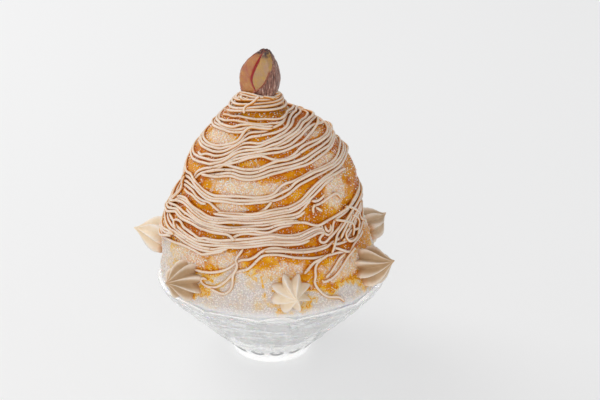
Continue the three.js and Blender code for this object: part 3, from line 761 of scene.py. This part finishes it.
    [(37, 108.8), (34.6, 107.6), (33.2, 105.6), (34.4, 103.6), (37, 103.3), (40.5, 105.3), (44, 107),
     (49, 108.7), (54, 110.6), (62, 112.8), (72, 115.6), (84, 117.4), (98, 118)],
    [(40.5, 101.4), (44, 100), (49, 99.2), (55, 98.5), (62, 97.6), (72, 98.8), (84, 103), (96, 107)],
    [(49, 100.4), (54, 101), (60, 103), (64, 101.7), (69, 100.4)],
    [(53, 104.6), (58, 105.5), (63, 104.8), (69, 106.8), (78, 110.5), (90, 116)],
    [(41, 98.8), (44.5, 96.7), (49, 93.4), (53, 92.2), (57, 94.1), (64, 95.2), (74, 96.5)],
    [(36, 96), (31, 94.3), (28.2, 92), (26.6, 88.8), (26, 85), (24.7, 81), (25.6, 77), (27.6, 73),
     (30.4, 69.4), (34.4, 67.4), (37.4, 66), (38.8, 63)],
    [(31.5, 95), (27, 93.4), (23, 90.2), (19.8, 87.6)],
    [(56, 93), (50.5, 90.2), (46, 87.2), (42, 84.6), (37.5, 81.9), (33, 80.2), (29.6, 80), (28.6, 81.6)],
    [(47, 92.8), (42.6, 90.7), (38.5, 87.4), (34.6, 84.4), (31, 83)],
    [(27.6, 132.2), (32.5, 131.4), (36, 132.6), (38, 134.6)],
    [(27.6, 128.2), (34, 129), (41, 130.9), (48, 131.9), (51.5, 130), (54, 126.6)],
    [(29.4, 130), (28.4, 127), (29.2, 123.8)],
    [(30.6, 127.6), (33.4, 125.4), (36, 123.2)],
    [(38, 96), (40.5, 98.8), (42.5, 101.6), (45, 104.4), (49, 107.2), (53, 109.4), (58, 112), (63, 114.2),
     (68, 115.8), (74, 117), (82, 118), (92, 118.6)],
    [(47, 102.2), (50.5, 105), (56, 108.4), (61, 110.8), (66, 112.4), (72, 113.4), (80, 114.4), (90, 115)],
    [(56, 106.2), (61, 108.6), (66, 110.6), (71, 112.3), (78, 114.4)],
    [(62, 106), (66, 108.4), (71, 110.4), (76, 112)],
    [(62.5, 111.6), (66, 109.4), (69, 106.4), (70, 103.4), (67, 100.4), (62, 98.2), (57, 97.4), (53, 98.6),
     (51.6, 101.4), (53, 104.2), (57, 105.6)],
    [(46, 114.4), (52, 112.2), (57, 109.4), (61, 106.2), (60.5, 103), (58, 100)],
    [(57, 119.6), (62, 117.2), (67, 113.6), (71, 109.4), (74, 105.4), (78, 101.5)],
]
STRAND_RADIUS = 1.03
STRAND_STEP = 1.3              # distance between the points of a strand
STRAND_SWAY = 0.45             # how far it strays from its line
HIGHEST_LIFT = 2.5             # of a strand's middle over the ice, where strands cross
PRESSED_IN = 0.66              # share of its radius that a strand's middle keeps over the ice
PRESSED_ON = 0.62              # the same, over another strand
GOES_ON_RIGHT = 72             # a strand that ends beyond this azimuth goes on round the back
COMES_FROM_LEFT = -78          # and one that starts beyond this one comes from there

# The nest under the chestnut winds up round it. Each level has the radius and then the height of
# the winding at the front, right, back and left.
NEST_MIDDLE = (-8.6, -1.6)
NEST_LEVELS = [
    ((16.6, 19.4, 18.2, 21.4), (182.4, 181.2, 180, 179.4)),
    ((15.4, 18.1, 16.9, 19.1), (184.5, 183.4, 182.6, 181.6)),
    ((14.3, 16.6, 15.6, 16.8), (186.5, 185.6, 184.8, 183.7)),
    ((13.3, 14.9, 14.3, 14.4), (188.4, 187.5, 186.9, 185.7)),
    ((12.6, 13.2, 13.1, 12.5), (190.2, 189.2, 188.7, 187.5)),
]
NEST_START = -75.0
NEST_BOTTOM = 181              # height of the ice under it
# Curls of cream on the nest and over its side, as (azimuth, radius, height) stops.
NEST_CURLS = [
    [(-118, 12.4, 187.6), (-100, 11.4, 188.8), (-80, 9, 189.8), (-60, 7.6, 190.2), (-42, 7.2, 190.3),
     (-22, 7.7, 190.5), (-4, 9.2, 190.5), (14, 11.2, 190.2), (30, 12.6, 189.8), (44, 13.6, 188.6)],
    [(-124, 13.2, 186.4), (-104, 12.6, 187.4), (-84, 10.8, 188.4), (-62, 9.4, 189), (-42, 9, 189.1),
     (-20, 9.6, 189.3), (0, 11, 189.7), (18, 12.4, 190.2), (32, 13.8, 190.6), (42, 14.6, 189.6),
     (50, 13.6, 188.8)],
    [(-112, 13.6, 185.8), (-101, 12.4, 187.6), (-91, 13, 188.4), (-84, 14.2, 187.2), (-76, 13.4, 186.4),
     (-68, 12, 187.8), (-58, 12.6, 189.2), (-50, 13.8, 188.6), (-42, 13.2, 187.8), (-30, 12, 189.6)],
    [(18, 12.8, 191.2), (34, 14.4, 190.4), (44, 14.9, 188.8), (55, 13, 188.8), (60, 12.4, 190.8),
     (76, 14.2, 190.4), (86, 15.2, 188.8), (98, 13.8, 188.2), (104, 12.8, 190), (122, 14.4, 189.4),
     (134, 14.8, 188)],
    [(6, 12.2, 191.2), (-2, 13.2, 190), (-11, 14.6, 187.9), (-22, 15.8, 186.1), (-29, 16.7, 184.6),
     (-30.5, 17.5, 182.8), (-28.5, 18.2, 180.8)],
    [(34, 13, 190.2), (46, 15, 189.6), (58, 13.2, 188.8), (72, 15, 189.6), (88, 13.6, 189)],
]

# The surface of the dome as a flat map: one column for each half degree, one row for each
# half millimetre up its side. It holds how far the cream already stands out of the ice.
MAP_STEP_DEGREES = 0.5
MAP_STEP_MM = 0.5


class Surface:
    """Where the cream lies on the dome so far."""

    def __init__(self):
        self.heights = np.linspace(DOME_FOOT, MOUND_TOP - 0.05, 1400)
        radii = along(DOME, self.heights)
        rise = np.hypot(np.diff(radii), np.diff(self.heights))
        self.run = np.concatenate([[0], np.cumsum(rise)])
        self.columns = int(360 / MAP_STEP_DEGREES)
        self.cover = np.zeros((int(self.run[-1] / MAP_STEP_MM) + 4, self.columns))
        self.row_radius = np.interp(np.arange(len(self.cover)) * MAP_STEP_MM, self.run, radii)

    def row(self, height):
        return np.interp(height, self.heights, self.run) / MAP_STEP_MM

    def radius(self, row):
        return max(self.row_radius[min(int(row), len(self.cover) - 1)], 6)

    def near(self, azimuth, height, reach):
        """The highest cream within a reach of each point."""
        rows, out = self.row(height), np.zeros(len(azimuth))
        for i, (a, r) in enumerate(zip(azimuth, rows)):
            low = max(int(r - reach / MAP_STEP_MM + 0.5), 0)
            high = int(r + reach / MAP_STEP_MM + 0.5) + 1
            wide = int(math.degrees(reach / self.radius(r)) / MAP_STEP_DEGREES + 0.5)
            middle = int(round((a % 360) / MAP_STEP_DEGREES))
            columns = np.arange(middle - wide, middle + wide + 1) % self.columns
            out[i] = self.cover[low:high, columns].max(initial=0.0)
        return out

    def lay(self, azimuth, height, lift):
        """Marks a strand whose middle stands out of the ice by a lift."""
        rows = self.row(height)
        for a, r, up in zip(azimuth, rows, lift):
            low = max(int(r - STRAND_RADIUS / MAP_STEP_MM), 0)
            high = min(int(r + STRAND_RADIUS / MAP_STEP_MM) + 2, len(self.cover))
            if low >= high:
                continue
            around = self.radius(r)
            wide = int(math.degrees(STRAND_RADIUS / around) / MAP_STEP_DEGREES) + 1
            middle = int(round((a % 360) / MAP_STEP_DEGREES))
            columns = np.arange(middle - wide, middle + wide + 1)
            across = np.radians((columns * MAP_STEP_DEGREES - a % 360)) * around
            along_side = (np.arange(low, high) - r) * MAP_STEP_MM
            inside = STRAND_RADIUS ** 2 - across[None, :] ** 2 - along_side[:, None] ** 2
            top = np.where(inside > 0, up + np.sqrt(np.maximum(inside, 0)), 0)
            columns %= self.columns
            patch = self.cover[low:high][:, columns]
            self.cover[low:high, columns] = np.maximum(patch, top)


def softened(values, width):
    """A row of values with its steps rounded off over a width."""
    kernel = np.exp(-0.5 * (np.arange(-3 * width, 3 * width + 1) / width) ** 2)
    padded = np.pad(values, 3 * width, mode="edge")
    return np.convolve(padded, kernel / kernel.sum(), mode="valid")


def routed(stops, seed):
    """Evenly spaced (azimuth, height) points on a smooth line through stops, swaying a little."""
    stops = np.array(stops, float)
    rise = np.interp(stops[:, 1], SURFACE.heights, SURFACE.run)
    across = np.radians(np.diff(stops[:, 0])) * along(DOME, (stops[1:, 1] + stops[:-1, 1]) / 2)
    gaps = np.maximum(np.hypot(across, np.diff(rise)), 0.05)
    run = np.concatenate([[0], np.cumsum(gaps)])
    at = np.linspace(0, run[-1], max(int(run[-1] / STRAND_STEP), 4) + 1)
    azimuth, height = along_line(stops, run, at)
    drift = np.array([
        noise.noise(Vector((t / 17, seed * 3.7, 0))) + 0.4 * noise.noise(Vector((t / 6, seed * 1.9, 5)))
        for t in at
    ])
    fade = np.clip(np.minimum(at, run[-1] - at) / 8, 0, 1)
    return azimuth, np.clip(height + STRAND_SWAY * drift * fade, 58, MOUND_TOP - 0.4)


def laid(azimuth, height):
    """How far the middle of a strand stands out of the ice where it lies on what is there."""
    under = SURFACE.near(azimuth, height, 0.42)
    lift = np.where(under > 0.2, under + PRESSED_ON * STRAND_RADIUS, PRESSED_IN * STRAND_RADIUS)
    lift = np.minimum(lift, HIGHEST_LIFT)
    lift = np.maximum.reduce([lift, np.roll(lift, 1), np.roll(lift, -1)])
    lift = softened(lift, 2)
    SURFACE.lay(azimuth[:-3], height[:-3], lift[:-3])            # the next length begins at its end
    return lift


def behind(right, left, seed):
    """Stops round the back, from a strand's right end to the left end of the next."""
    (a0, h0), (a1, h1) = right, (left[0] + 360, left[1])
    stops = []
    for share in (0.16, 0.3, 0.44, 0.58, 0.72, 0.86):
        a = a0 + (a1 - a0) * share
        ease = share * share * (3 - 2 * share)
        h = h0 + (h1 - h0) * (0.5 * ease + 0.5 * share)
        swing = 2.6 * math.sin(math.radians(3.1 * a) + h / 11) + 1.3 * math.sin(math.radians(7 * a) - h / 6)
        own = 1.6 * noise.noise(Vector((a / 25, seed * 2.3, h / 14)))
        stops.append((a, min(h + (swing + own) * math.sin(math.pi * share), 185)))
    return stops


def cream_routes():
    """Every strand on the dome as rows of points in mm."""
    every = range(len(FRONT_STRANDS))
    # The highest right end goes on to the highest left end, and so on down.
    rights = [i for i in every if FRONT_STRANDS[i][-1][0] >= GOES_ON_RIGHT]
    lefts = [i for i in every if FRONT_STRANDS[i][0][0] <= COMES_FROM_LEFT]
    rights.sort(key=lambda i: -FRONT_STRANDS[i][-1][1])
    lefts.sort(key=lambda i: -FRONT_STRANDS[i][0][1])
    follows = dict(zip(rights, lefts))
    starts = [i for i in every if i not in follows.values()] + list(every)
    done, routes = set(), []
    for start in starts:
        if start in done:
            continue
        stops, i, turn = [], start, 0
        while True:
            done.add(i)
            stops += [(a + 360 * turn, h) for a, h in FRONT_STRANDS[i]]
            if i not in follows:
                break
            j = follows[i]
            stops += [(a + 360 * turn, h) for a, h in behind(FRONT_STRANDS[i][-1], FRONT_STRANDS[j][0], i)]
            if j in done:
                break
            i, turn = j, turn + 1
        azimuth, height = routed(stops, start)
        # It is laid a length at a time, so that it can lie on itself.
        lengths = max(len(azimuth) // 150, 1)
        parts = zip(np.array_split(azimuth, lengths), np.array_split(height, lengths))
        lifts = [laid(*part) for part in parts]
        routes.append(on_ice(azimuth, height, softened(np.concatenate(lifts), 1)))
    return routes


def nest_routes():
    """The nest that the chestnut stands in, as rows of points in mm."""
    wound = np.arange(NEST_START, NEST_START + 360 * (len(NEST_LEVELS) - 1) + 40, 5.0)
    a = np.radians(wound)
    sides = np.clip([np.cos(a), np.sin(a), -np.cos(a), -np.sin(a)], 0, None) ** 2
    level = np.clip((wound - NEST_START) / 360, 0, len(NEST_LEVELS) - 1.001)
    low, share = level.astype(int), (level % 1)[:, None]
    table = np.array(NEST_LEVELS, float)
    radius, height = (
        (sides.T * (table[low, k] * (1 - share) + table[low + 1, k] * share)).sum(axis=1) for k in (0, 1)
    )
    radius += 0.45 * np.sin(a * 2.3) + 0.3 * np.sin(a * 3.7 + 1)
    height += 0.35 * np.sin(a * 1.7 + 2)
    lines = [(wound, radius, height)]
    for curl in NEST_CURLS:
        last = len(curl) - 1
        at = np.linspace(0, last, last * 5)
        lines.append([along(list(enumerate(values)), at) for values in zip(*curl)])
    x, y = NEST_MIDDLE
    return [xyz(r * np.sin(np.radians(az)) + x, y - r * np.cos(np.radians(az)), h) for az, r, h in lines]


def make_cream(name, rows):
    """Strands as one piece: a line with a round section for each row of points, made a mesh."""
    data = bpy.data.curves.new(name, "CURVE")
    data.dimensions = "3D"
    data.bevel_depth = STRAND_RADIUS * MM
    data.bevel_resolution = 3
    data.use_fill_caps = True
    for number, points in enumerate(rows):
        spline = data.splines.new("POLY")
        spline.points.add(len(points) - 1)
        ones = np.ones((len(points), 1))
        spline.points.foreach_set("co", np.hstack([points * MM, ones]).ravel())
        at = np.arange(len(points)) * STRAND_STEP
        width = 1 + np.array([
            0.09 * noise.noise(Vector((t / 5, number * 1.3, 2)))
            + 0.07 * noise.noise(Vector((t / 1.9, number * 1.7, 6))) for t in at
        ])
        width *= 0.55 + 0.45 * np.clip(np.minimum(at, at[-1] - at) / 1.6, 0, 1)
        spline.points.foreach_set("radius", width)
        spline.use_smooth = True
    cream = bpy.data.objects.new(name, data)
    bpy.context.scene.collection.objects.link(cream)
    only(cream)
    bpy.ops.object.convert(target="MESH")
    cream = bpy.context.object
    # Syrup soaks into the cream where it lies on the ice, and gathers under it; the side of each strand that
    # faces the dome is also painted amber-dark, as shade and light bounced from the ice.
    p = points_of(cream)
    sides = len(p) // sum(len(points) for points in rows)
    rings = p.reshape(-1, sides, 3)
    offset = (rings - rings.mean(axis=1, keepdims=True)).reshape(-1, 3)
    middle = along(DOME_LEAN, p[:, 2])
    azimuth = azimuth_of(p - xyz(middle, 0 * middle, 0 * middle))
    height = np.clip(p[:, 2], DOME_FOOT, MOUND_TOP)
    over = np.hypot(p[:, 0] - middle, p[:, 1]) - along(DOME, height) - lump(azimuth, height)
    over = np.where(p[:, 2] > NEST_BOTTOM, 2, over / dome_slope(height)[1])
    outward = (offset * square_to_dome(azimuth, height)).sum(axis=1) / STRAND_RADIUS
    # Painted shade: the side of a strand that faces the dome is amber-dark, as shade and light bounced from
    # the ice.
    under = 0.92 * (1 - smoothstep(outward, -0.14, 0.98))
    set_share(cream, "soaked_and_shade", np.maximum(under, 0.95 * (1 - smoothstep(over, 0.2, 1.4))))
    smooth(cream)
    dress(cream, CREAM)
    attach(cream, "root")
    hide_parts("shaved_ice_and_cream")


# ------------------------------------------------------------------ the ice

# Where white ice gives way to syrup, as (azimuth, height).
SYRUP_EDGE = [
    (-180, 84), (-120, 94), (-90, 97), (-75, 95), (-60, 87), (-35, 82), (-20, 88), (-5, 87), (10, 84),
    (24, 76), (45, 71), (62, 76), (100, 84), (140, 80), (180, 82),
]
# Patches of rime, as (azimuth, height, half width in degrees, half height, strength).
RIME = [
    (-20, 141, 24, 6, 1.0), (2, 141, 12, 5, 0.8), (50, 133, 11, 13, 1.0), (-62, 165, 24, 5, 0.9),
    (-22, 96, 12, 7, 0.8), (-48, 92, 16, 8, 0.9), (48, 153.5, 16, 3, 0.8), (-26, 128, 12, 4, 0.9),
    (-14, 155.5, 12, 3, 0.4), (8, 92, 14, 7, 0.8), (48, 84, 20, 8, 0.8), (58, 167, 14, 2, 0.7),
    (62, 145, 10, 6, 0.7), (-95, 92, 20, 9, 0.9), (110, 95, 26, 10, 0.9), (150, 125, 24, 9, 0.9),
    (-150, 140, 26, 8, 0.9), (-120, 112, 18, 8, 0.7), (180, 165, 30, 6, 0.8), (100, 150, 16, 8, 0.7),
]
# Patches full of syrup, as the same without a strength.
WET = [
    (34, 122, 9, 6), (18, 115.5, 12, 4), (-2, 112, 12, 3), (12, 134, 14, 5), (0, 96, 8, 5), (22, 99, 16, 4),
]


def blot(azimuth, height, at, up, wide, tall):
    """1 in the middle of a patch with soft edges."""
    away = (azimuth - at + 180) % 360 - 180
    return np.exp(-((away / wide) ** 2 + ((height - up) / tall) ** 2) ** 1.5)


def make_ice():
    dome = finer([(r, h) for h, r in DOME], step=1.12)
    ice = spun("shaved_ice_mound", finer(ICE_IN_BOWL, step=2.0) + dome[1:], steps=400)
    p = points_of(ice)
    azimuth, height = azimuth_of(p), p[:, 2]
    above = height > DOME_FOOT + 0.01
    shape = np.where(above[:, None], on_ice(azimuth, np.minimum(height, MOUND_TOP), 0.0), p)
    tip = height > MOUND_TOP - 0.2

    edge = np.interp(azimuth, *np.array(SYRUP_EDGE).T)
    broad = fractal(p, 16, 3, 1.0)
    patchy = fractal(p, 5, 3, 4.0)
    rime = np.zeros(len(p))
    for at, up, wide, tall, strength in RIME:
        rime = np.maximum(rime, strength * blot(azimuth, height, at, up, wide, tall))
    wet = np.zeros(len(p))
    for at, up, wide, tall in WET:
        wet = np.maximum(wet, blot(azimuth, height, at, up, wide, tall))
    syrup = smoothstep(height + 7 * broad + 4 * patchy, edge - 7, edge + 11) * (0.84 + 0.22 * broad)
    for at, up, *_ in MERINGUES:                                # a stain round each meringue
        stain = 0.62 * blot(azimuth, height, at, up + 1, 16, 17)
        syrup = np.maximum(syrup, stain * smoothstep(patchy, -0.5, 0.4))
    tint = 0.07 * smoothstep(height + 5 * broad + 2 * patchy, 66, 80)
    syrup = np.maximum.reduce([syrup * (1 - 0.55 * rime), 0.86 * wet, tint]) * (height > 57)
    frost = np.clip(rime + 0.35 * smoothstep(patchy + 0.4 * broad, 0.15, 0.7), 0, 1) * (1 - 0.8 * wet)

    # Syrup pools beside and under the cream, and the deeper amber there is also painted shade for the
    # crevices between the strands.
    column = np.round((azimuth % 360) / MAP_STEP_DEGREES).astype(int) % SURFACE.columns
    row = np.round(SURFACE.row(np.clip(height, DOME_FOOT, MOUND_TOP))).astype(int)
    row = np.clip(row, 0, len(SURFACE.cover) - 1)
    covered = (SURFACE.cover > 0.3).astype(float)
    near = covered.copy()
    for shift in (1, -1, 2, -2, 3, -3):
        near += np.roll(covered, shift, axis=0) + np.roll(covered, shift, axis=1)
    pooled_syrup_and_shade = near[row, column] / 13 * above
    clear = 1 - covered[row, column]

    grain = fractal(p, 3.2, 3, 7.0)
    crumbs = np.abs(fractal(p, 6.5, 3, 9.0))
    rough = (0.4 + 0.6 * frost + 0.7 * (1 - syrup)) * (1 - 0.75 * wet)
    raised = rough * (0.55 * grain + 0.7 * (crumbs - 0.25)) + 0.35 * broad * smoothstep(height, 60, 70)
    raised = raised * (0.45 + 0.55 * clear) * smoothstep(height, 55, 62) * (1 - smoothstep(height, 180, 186))
    a = np.radians(azimuth)
    square = np.where(above[:, None], square_to_dome(azimuth, height), xyz(np.sin(a), -np.cos(a), 0 * a))
    moved = shape + square * raised[:, None]
    moved[tip] = shape[tip]
    set_points(ice, moved)
    set_share(ice, "syrup", syrup)
    set_share(ice, "frost", frost)
    set_share(ice, "pooled_syrup_and_shade", pooled_syrup_and_shade)
    # Painted light: marks the ice inside the bowl to be painted brighter.
    set_share(ice, "inside", 1 - smoothstep(height, 57, 66))
    smooth(ice)
    dress(ice, ice_finish())
    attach(ice, "root")
    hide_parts("shaved_ice_and_cream")
    return moved, square, clear, frost


CRYSTALS = 4200
CRYSTAL_SIZES = (0.24, 0.52)
LARGE_SHARE = 0.15             # of the crystals, which are larger by this much:
LARGER = 1.3


def make_crystals(points, square, clear, frost):
    """Loose crystals that lie on the ice, most of all where it is frosted."""
    rng = np.random.default_rng(12)
    open_ice = (clear > 0.5) & (points[:, 2] > 61) & (points[:, 2] < 182)
    weight = np.where(open_ice, 0.25 + frost, 0)
    picked = rng.choice(len(points), size=CRYSTALS, replace=False, p=weight / weight.sum())
    deselect_all()
    bpy.ops.mesh.primitive_ico_sphere_add(subdivisions=1, radius=1)
    seed = bpy.context.object
    corners = np.array([v.co for v in seed.data.vertices])
    faces = np.array([list(f.vertices) for f in seed.data.polygons])
    bpy.data.objects.remove(seed)
    all_corners, all_faces = [], []
    for n, i in enumerate(picked):
        size = rng.uniform(*CRYSTAL_SIZES) * (LARGER if rng.random() < LARGE_SHARE else 1)
        stretch = rng.uniform(0.6, 1.3, 3)
        turn = np.linalg.qr(rng.normal(size=(3, 3)))[0]
        if np.linalg.det(turn) < 0:
            turn[:, 0] *= -1
        shape = (corners * stretch * (1 + rng.uniform(-0.18, 0.18, (len(corners), 1)))) @ turn.T * size
        all_corners.append(shape + points[i] + square[i] * size * 0.35)
        all_faces.append(faces + n * len(corners))
    mesh = bpy.data.meshes.new("loose_ice_crystals")
    mesh.from_pydata((np.concatenate(all_corners) * MM).tolist(), [], np.concatenate(all_faces).tolist())
    crystals = bpy.data.objects.new("loose_ice_crystals", mesh)
    bpy.context.scene.collection.objects.link(crystals)
    dress(crystals, crystal_finish())
    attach(crystals, "root")


# ------------------------------------------------------------------ meringues

RIBS = 8
MERINGUE_RADIUS = 13.6
MERINGUE_LENGTH = 26.5
RIB_DEPTH = 0.4
RIB_TWIST = 30.0
MERINGUE_REACH = 70.0          # of its base from the middle of the dome
# One side of a kiss, as shares of its (length, radius).
MERINGUE_PROFILE = [
    (0, 0.78), (0.05, 0.88), (0.12, 0.96), (0.2, 1.0), (0.28, 1.01), (0.36, 0.99), (0.45, 0.92),
    (0.53, 0.82), (0.61, 0.69), (0.68, 0.55), (0.75, 0.4), (0.82, 0.26), (0.88, 0.155), (0.94, 0.08),
    (0.98, 0.04), (1, 0.0),
]
# For each kiss: azimuth and height of the middle of its base, swing to the side, climb, size, turn.
MERINGUES = [
    (11, 76.5, 1, 8, 1, 10), (63, 74.5, -2, 22, 1.02, 4), (114, 75, 14, 14, 0.96, 17),
    (166, 75.5, -5, 15, 0.98, 30), (-151, 75, 4, 11, 1, 22), (-103, 77, 4, 10, 0.98, 38),
    (-47, 74.5, 8, 13, 1.02, 14),
]
MERINGUE_BAKE_AND_SHADE = [0.0, 0.72, 0.5, 0.4, 0.3, 0.0, 0.68]          # how tan each one's valleys are, partly its browning and partly painted shade


def make_meringue(number, azimuth, height, swing, climb, size, turn):
    """A kiss of eight ribs that lies on the rim with its tip outwards."""
    length, radius = MERINGUE_LENGTH * size, MERINGUE_RADIUS * size
    side = finer([(wide * radius, share * length) for share, wide in MERINGUE_PROFILE], step=0.55)
    kiss = spun(f"meringue_kiss_{number}", [(0, 0)] + side, steps=144)
    p = points_of(kiss)
    share = np.clip(p[:, 2] / length, 0, 1)
    at = azimuth_of(p)
    between = (at * RIBS / 360) % 1
    between = np.minimum(between, 1 - between) * 2            # 0 at a crest and 1 in the middle of a valley
    rng = np.random.default_rng(40 + number)
    depths = RIB_DEPTH * rng.uniform(0.85, 1.15, RIBS)
    depth = depths[(at * RIBS / 360 % RIBS).astype(int) % RIBS] * (1 - 0.35 * smoothstep(share, 0.75, 1))
    # Round lobes at the base that narrow to sharp ridges with hollows between them.
    sharp = smoothstep(share, 0.12, 0.6)
    dip = between ** 1.1 * (1 - sharp) + (1 - (1 - between) ** 1.8) * sharp
    uneven = 1 + 0.035 * fractal(p, 9, 2, number) + 0.008 * np.sin(share * 60 + at / 9)
    reach = np.hypot(p[:, 0], p[:, 1]) * (1 - depth * dip) * uneven
    a = np.radians(at + turn + RIB_TWIST * share + 2.5 * np.sin(share * 5 + number))
    droop = 0.9 * share ** 3
    p = xyz(reach * np.sin(a), -reach * np.cos(a) + droop, p[:, 2])
    p = turned(turned(p, X, 90 - climb), Z, azimuth + swing)
    middle = float(along(DOME_LEAN, height))
    place = math.radians(azimuth)
    p += (MERINGUE_REACH * math.sin(place) + middle, -MERINGUE_REACH * math.cos(place), height)
    set_points(kiss, p)
    # Painted light: the crest share paints the ridges paler and the valleys darker.
    set_share(kiss, "crest", (1 - dip) ** 0.8 * (1 - 0.2 * share))
    set_share(kiss, "base", 1 - smoothstep(share, 0.02, 0.3))
    set_share(kiss, "bake_and_shade", np.full(len(p), MERINGUE_BAKE_AND_SHADE[number - 1]))
    smooth(kiss)
    dress(kiss, MERINGUE)
    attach(kiss, "root")
    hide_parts(f"meringue_{number}")


# ------------------------------------------------------------------ the chestnut

NUT_RADIUS = 14.3
NUT_HEIGHT = 38.2
NUT_PLACE = (-9.6, -1.5, MOUND_TOP - 3)
NUT_FACING = -42.0             # azimuth that the cut face looks at
NUT_LEAN = 8.0
CUT_SETBACK = 3.8              # of the cut face in front of the middle
NUT_PROFILE = [
    (0, 0), (0.36, 0), (0.66, 0.05), (0.85, 0.14), (0.95, 0.25), (1, 0.39), (0.97, 0.5), (0.87, 0.62),
    (0.7, 0.75), (0.48, 0.87), (0.33, 0.945), (0.22, 0.985), (0, 0.99),
]

# Lines on the cut face as (height, place from left to right): the seam between the two halves of
# the flesh, and the skin's edge on the lower right.
SEAM = [(4, 3.6), (8.9, 2), (12.6, -1.4), (16.6, -2.5), (24.8, -0.4), (33.7, 3.1), (38, 4.5)]
SKIN_EDGE = [(0, -3), (6.8, 1.2), (12, 5.6), (17, 9.2), (23, 11.6), (30, 12.4), (38, 12)]


def make_chestnut():
    profile = finer([(r * NUT_RADIUS, h * NUT_HEIGHT) for r, h in NUT_PROFILE], step=0.42)
    nut = spun("candied_chestnut_half", profile, steps=220)
    p = points_of(nut)
    up = np.clip(p[:, 2] / NUT_HEIGHT, 0, 1)
    reach = np.hypot(p[:, 0], p[:, 1])
    out = p[:, :2] / np.maximum(reach, 1e-6)[:, None]
    beyond = np.clip(-CUT_SETBACK - p[:, 1], 0, None)
    cut = beyond > 0
    bared = p[:, 1] < -CUT_SETBACK + 4.2 * smoothstep(p[:, 2], 23, 34)   # skin is off beyond the cut too
    fibres = fractal(p * (1, 1, 0.3), 2.4, 3, 3.0)
    crease = np.exp(-((np.degrees(np.arctan2(p[:, 1], p[:, 0])) + 2 - 30 * (up - 0.5)) / 5) ** 2)
    grow = (0.3 * fibres + 0.5 * crease) * smoothstep(reach, 1, 5) * ~cut
    p[:, :2] += out * grow[:, None]
    p[:, 0] += 3.6 * up ** 2.2                                  # the tip leans to the right
    high = p[:, 2]
    from_seam = p[:, 0] - along(SEAM, high)
    ends = smoothstep(high, 5, 13) * (1 - smoothstep(high, 30, 37))
    seam = np.exp(-(from_seam / (0.32 + 0.72 * ends)) ** 2)
    from_skin = p[:, 0] - along(SKIN_EDGE, high)
    skinned = smoothstep(from_skin, -0.25, 0.25)
    lip = np.exp(-(from_skin / 0.7) ** 2)
    bulge = 1.3 * np.clip(beyond / 3.2, 0, 1) ** 0.7 * (1 - seam * (0.4 + 0.6 * ends))
    bulge += (0.5 * skinned + 0.9 * lip + 0.3 * skinned * fibres) * np.clip(beyond / 1.5, 0, 1)
    bulge += 0.14 * fractal(p, 2.4, 3, 6.0)
    p[cut, 1] = (-CUT_SETBACK + 0.6 - bulge)[cut]
    p[:, 2] += 0.35 * smoothstep(up, 0.95, 1) * np.sin(p[:, 0] * 3.2)
    set_points(nut, turned(turned(p, Y, NUT_LEAN), Z, NUT_FACING) + NUT_PLACE)
    flesh = bared * (1 - skinned)
    set_share(nut, "cut", flesh)
    set_share(nut, "seam", seam * flesh)
    set_share(nut, "right", smoothstep(from_seam, -0.3, 0.5))
    left_edge = flesh * (1 - smoothstep(beyond, 0, 0.7)) * (from_seam < 0)
    set_share(nut, "rim", np.maximum(left_edge, lip * (beyond > 0.3) * (1 - smoothstep(high, 26, 33))))
    set_share(nut, "low", 1 - smoothstep(up, 0.06, 0.3))
    set_share(nut, "tip", smoothstep(up, 0.84, 0.97))
    smooth(nut)
    dress(nut, chestnut_finish())
    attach(nut, "root")
    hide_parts("chestnut")


# ------------------------------------------------------------------ the whole

set_the_stage()
SURFACE = Surface()
CREAM = cream_finish()
MERINGUE = meringue_finish()

make_bowl()
rows = sorted(cream_routes(), key=lambda row: -row[:, 2].mean())
lengths = np.cumsum([len(row) for row in rows])
for k, piece_name in enumerate(("cream_strands_upper", "cream_strands_middle", "cream_strands_lower")):
    third = (lengths[-1] * k / 3, lengths[-1] * (k + 1) / 3 + 0.5)
    make_cream(piece_name, [row for row, n in zip(rows, lengths) if third[0] < n <= third[1]])
make_cream("cream_nest", nest_routes())
make_crystals(*make_ice())
for k, where in enumerate(MERINGUES):
    make_meringue(k + 1, *where)
make_chestnut()
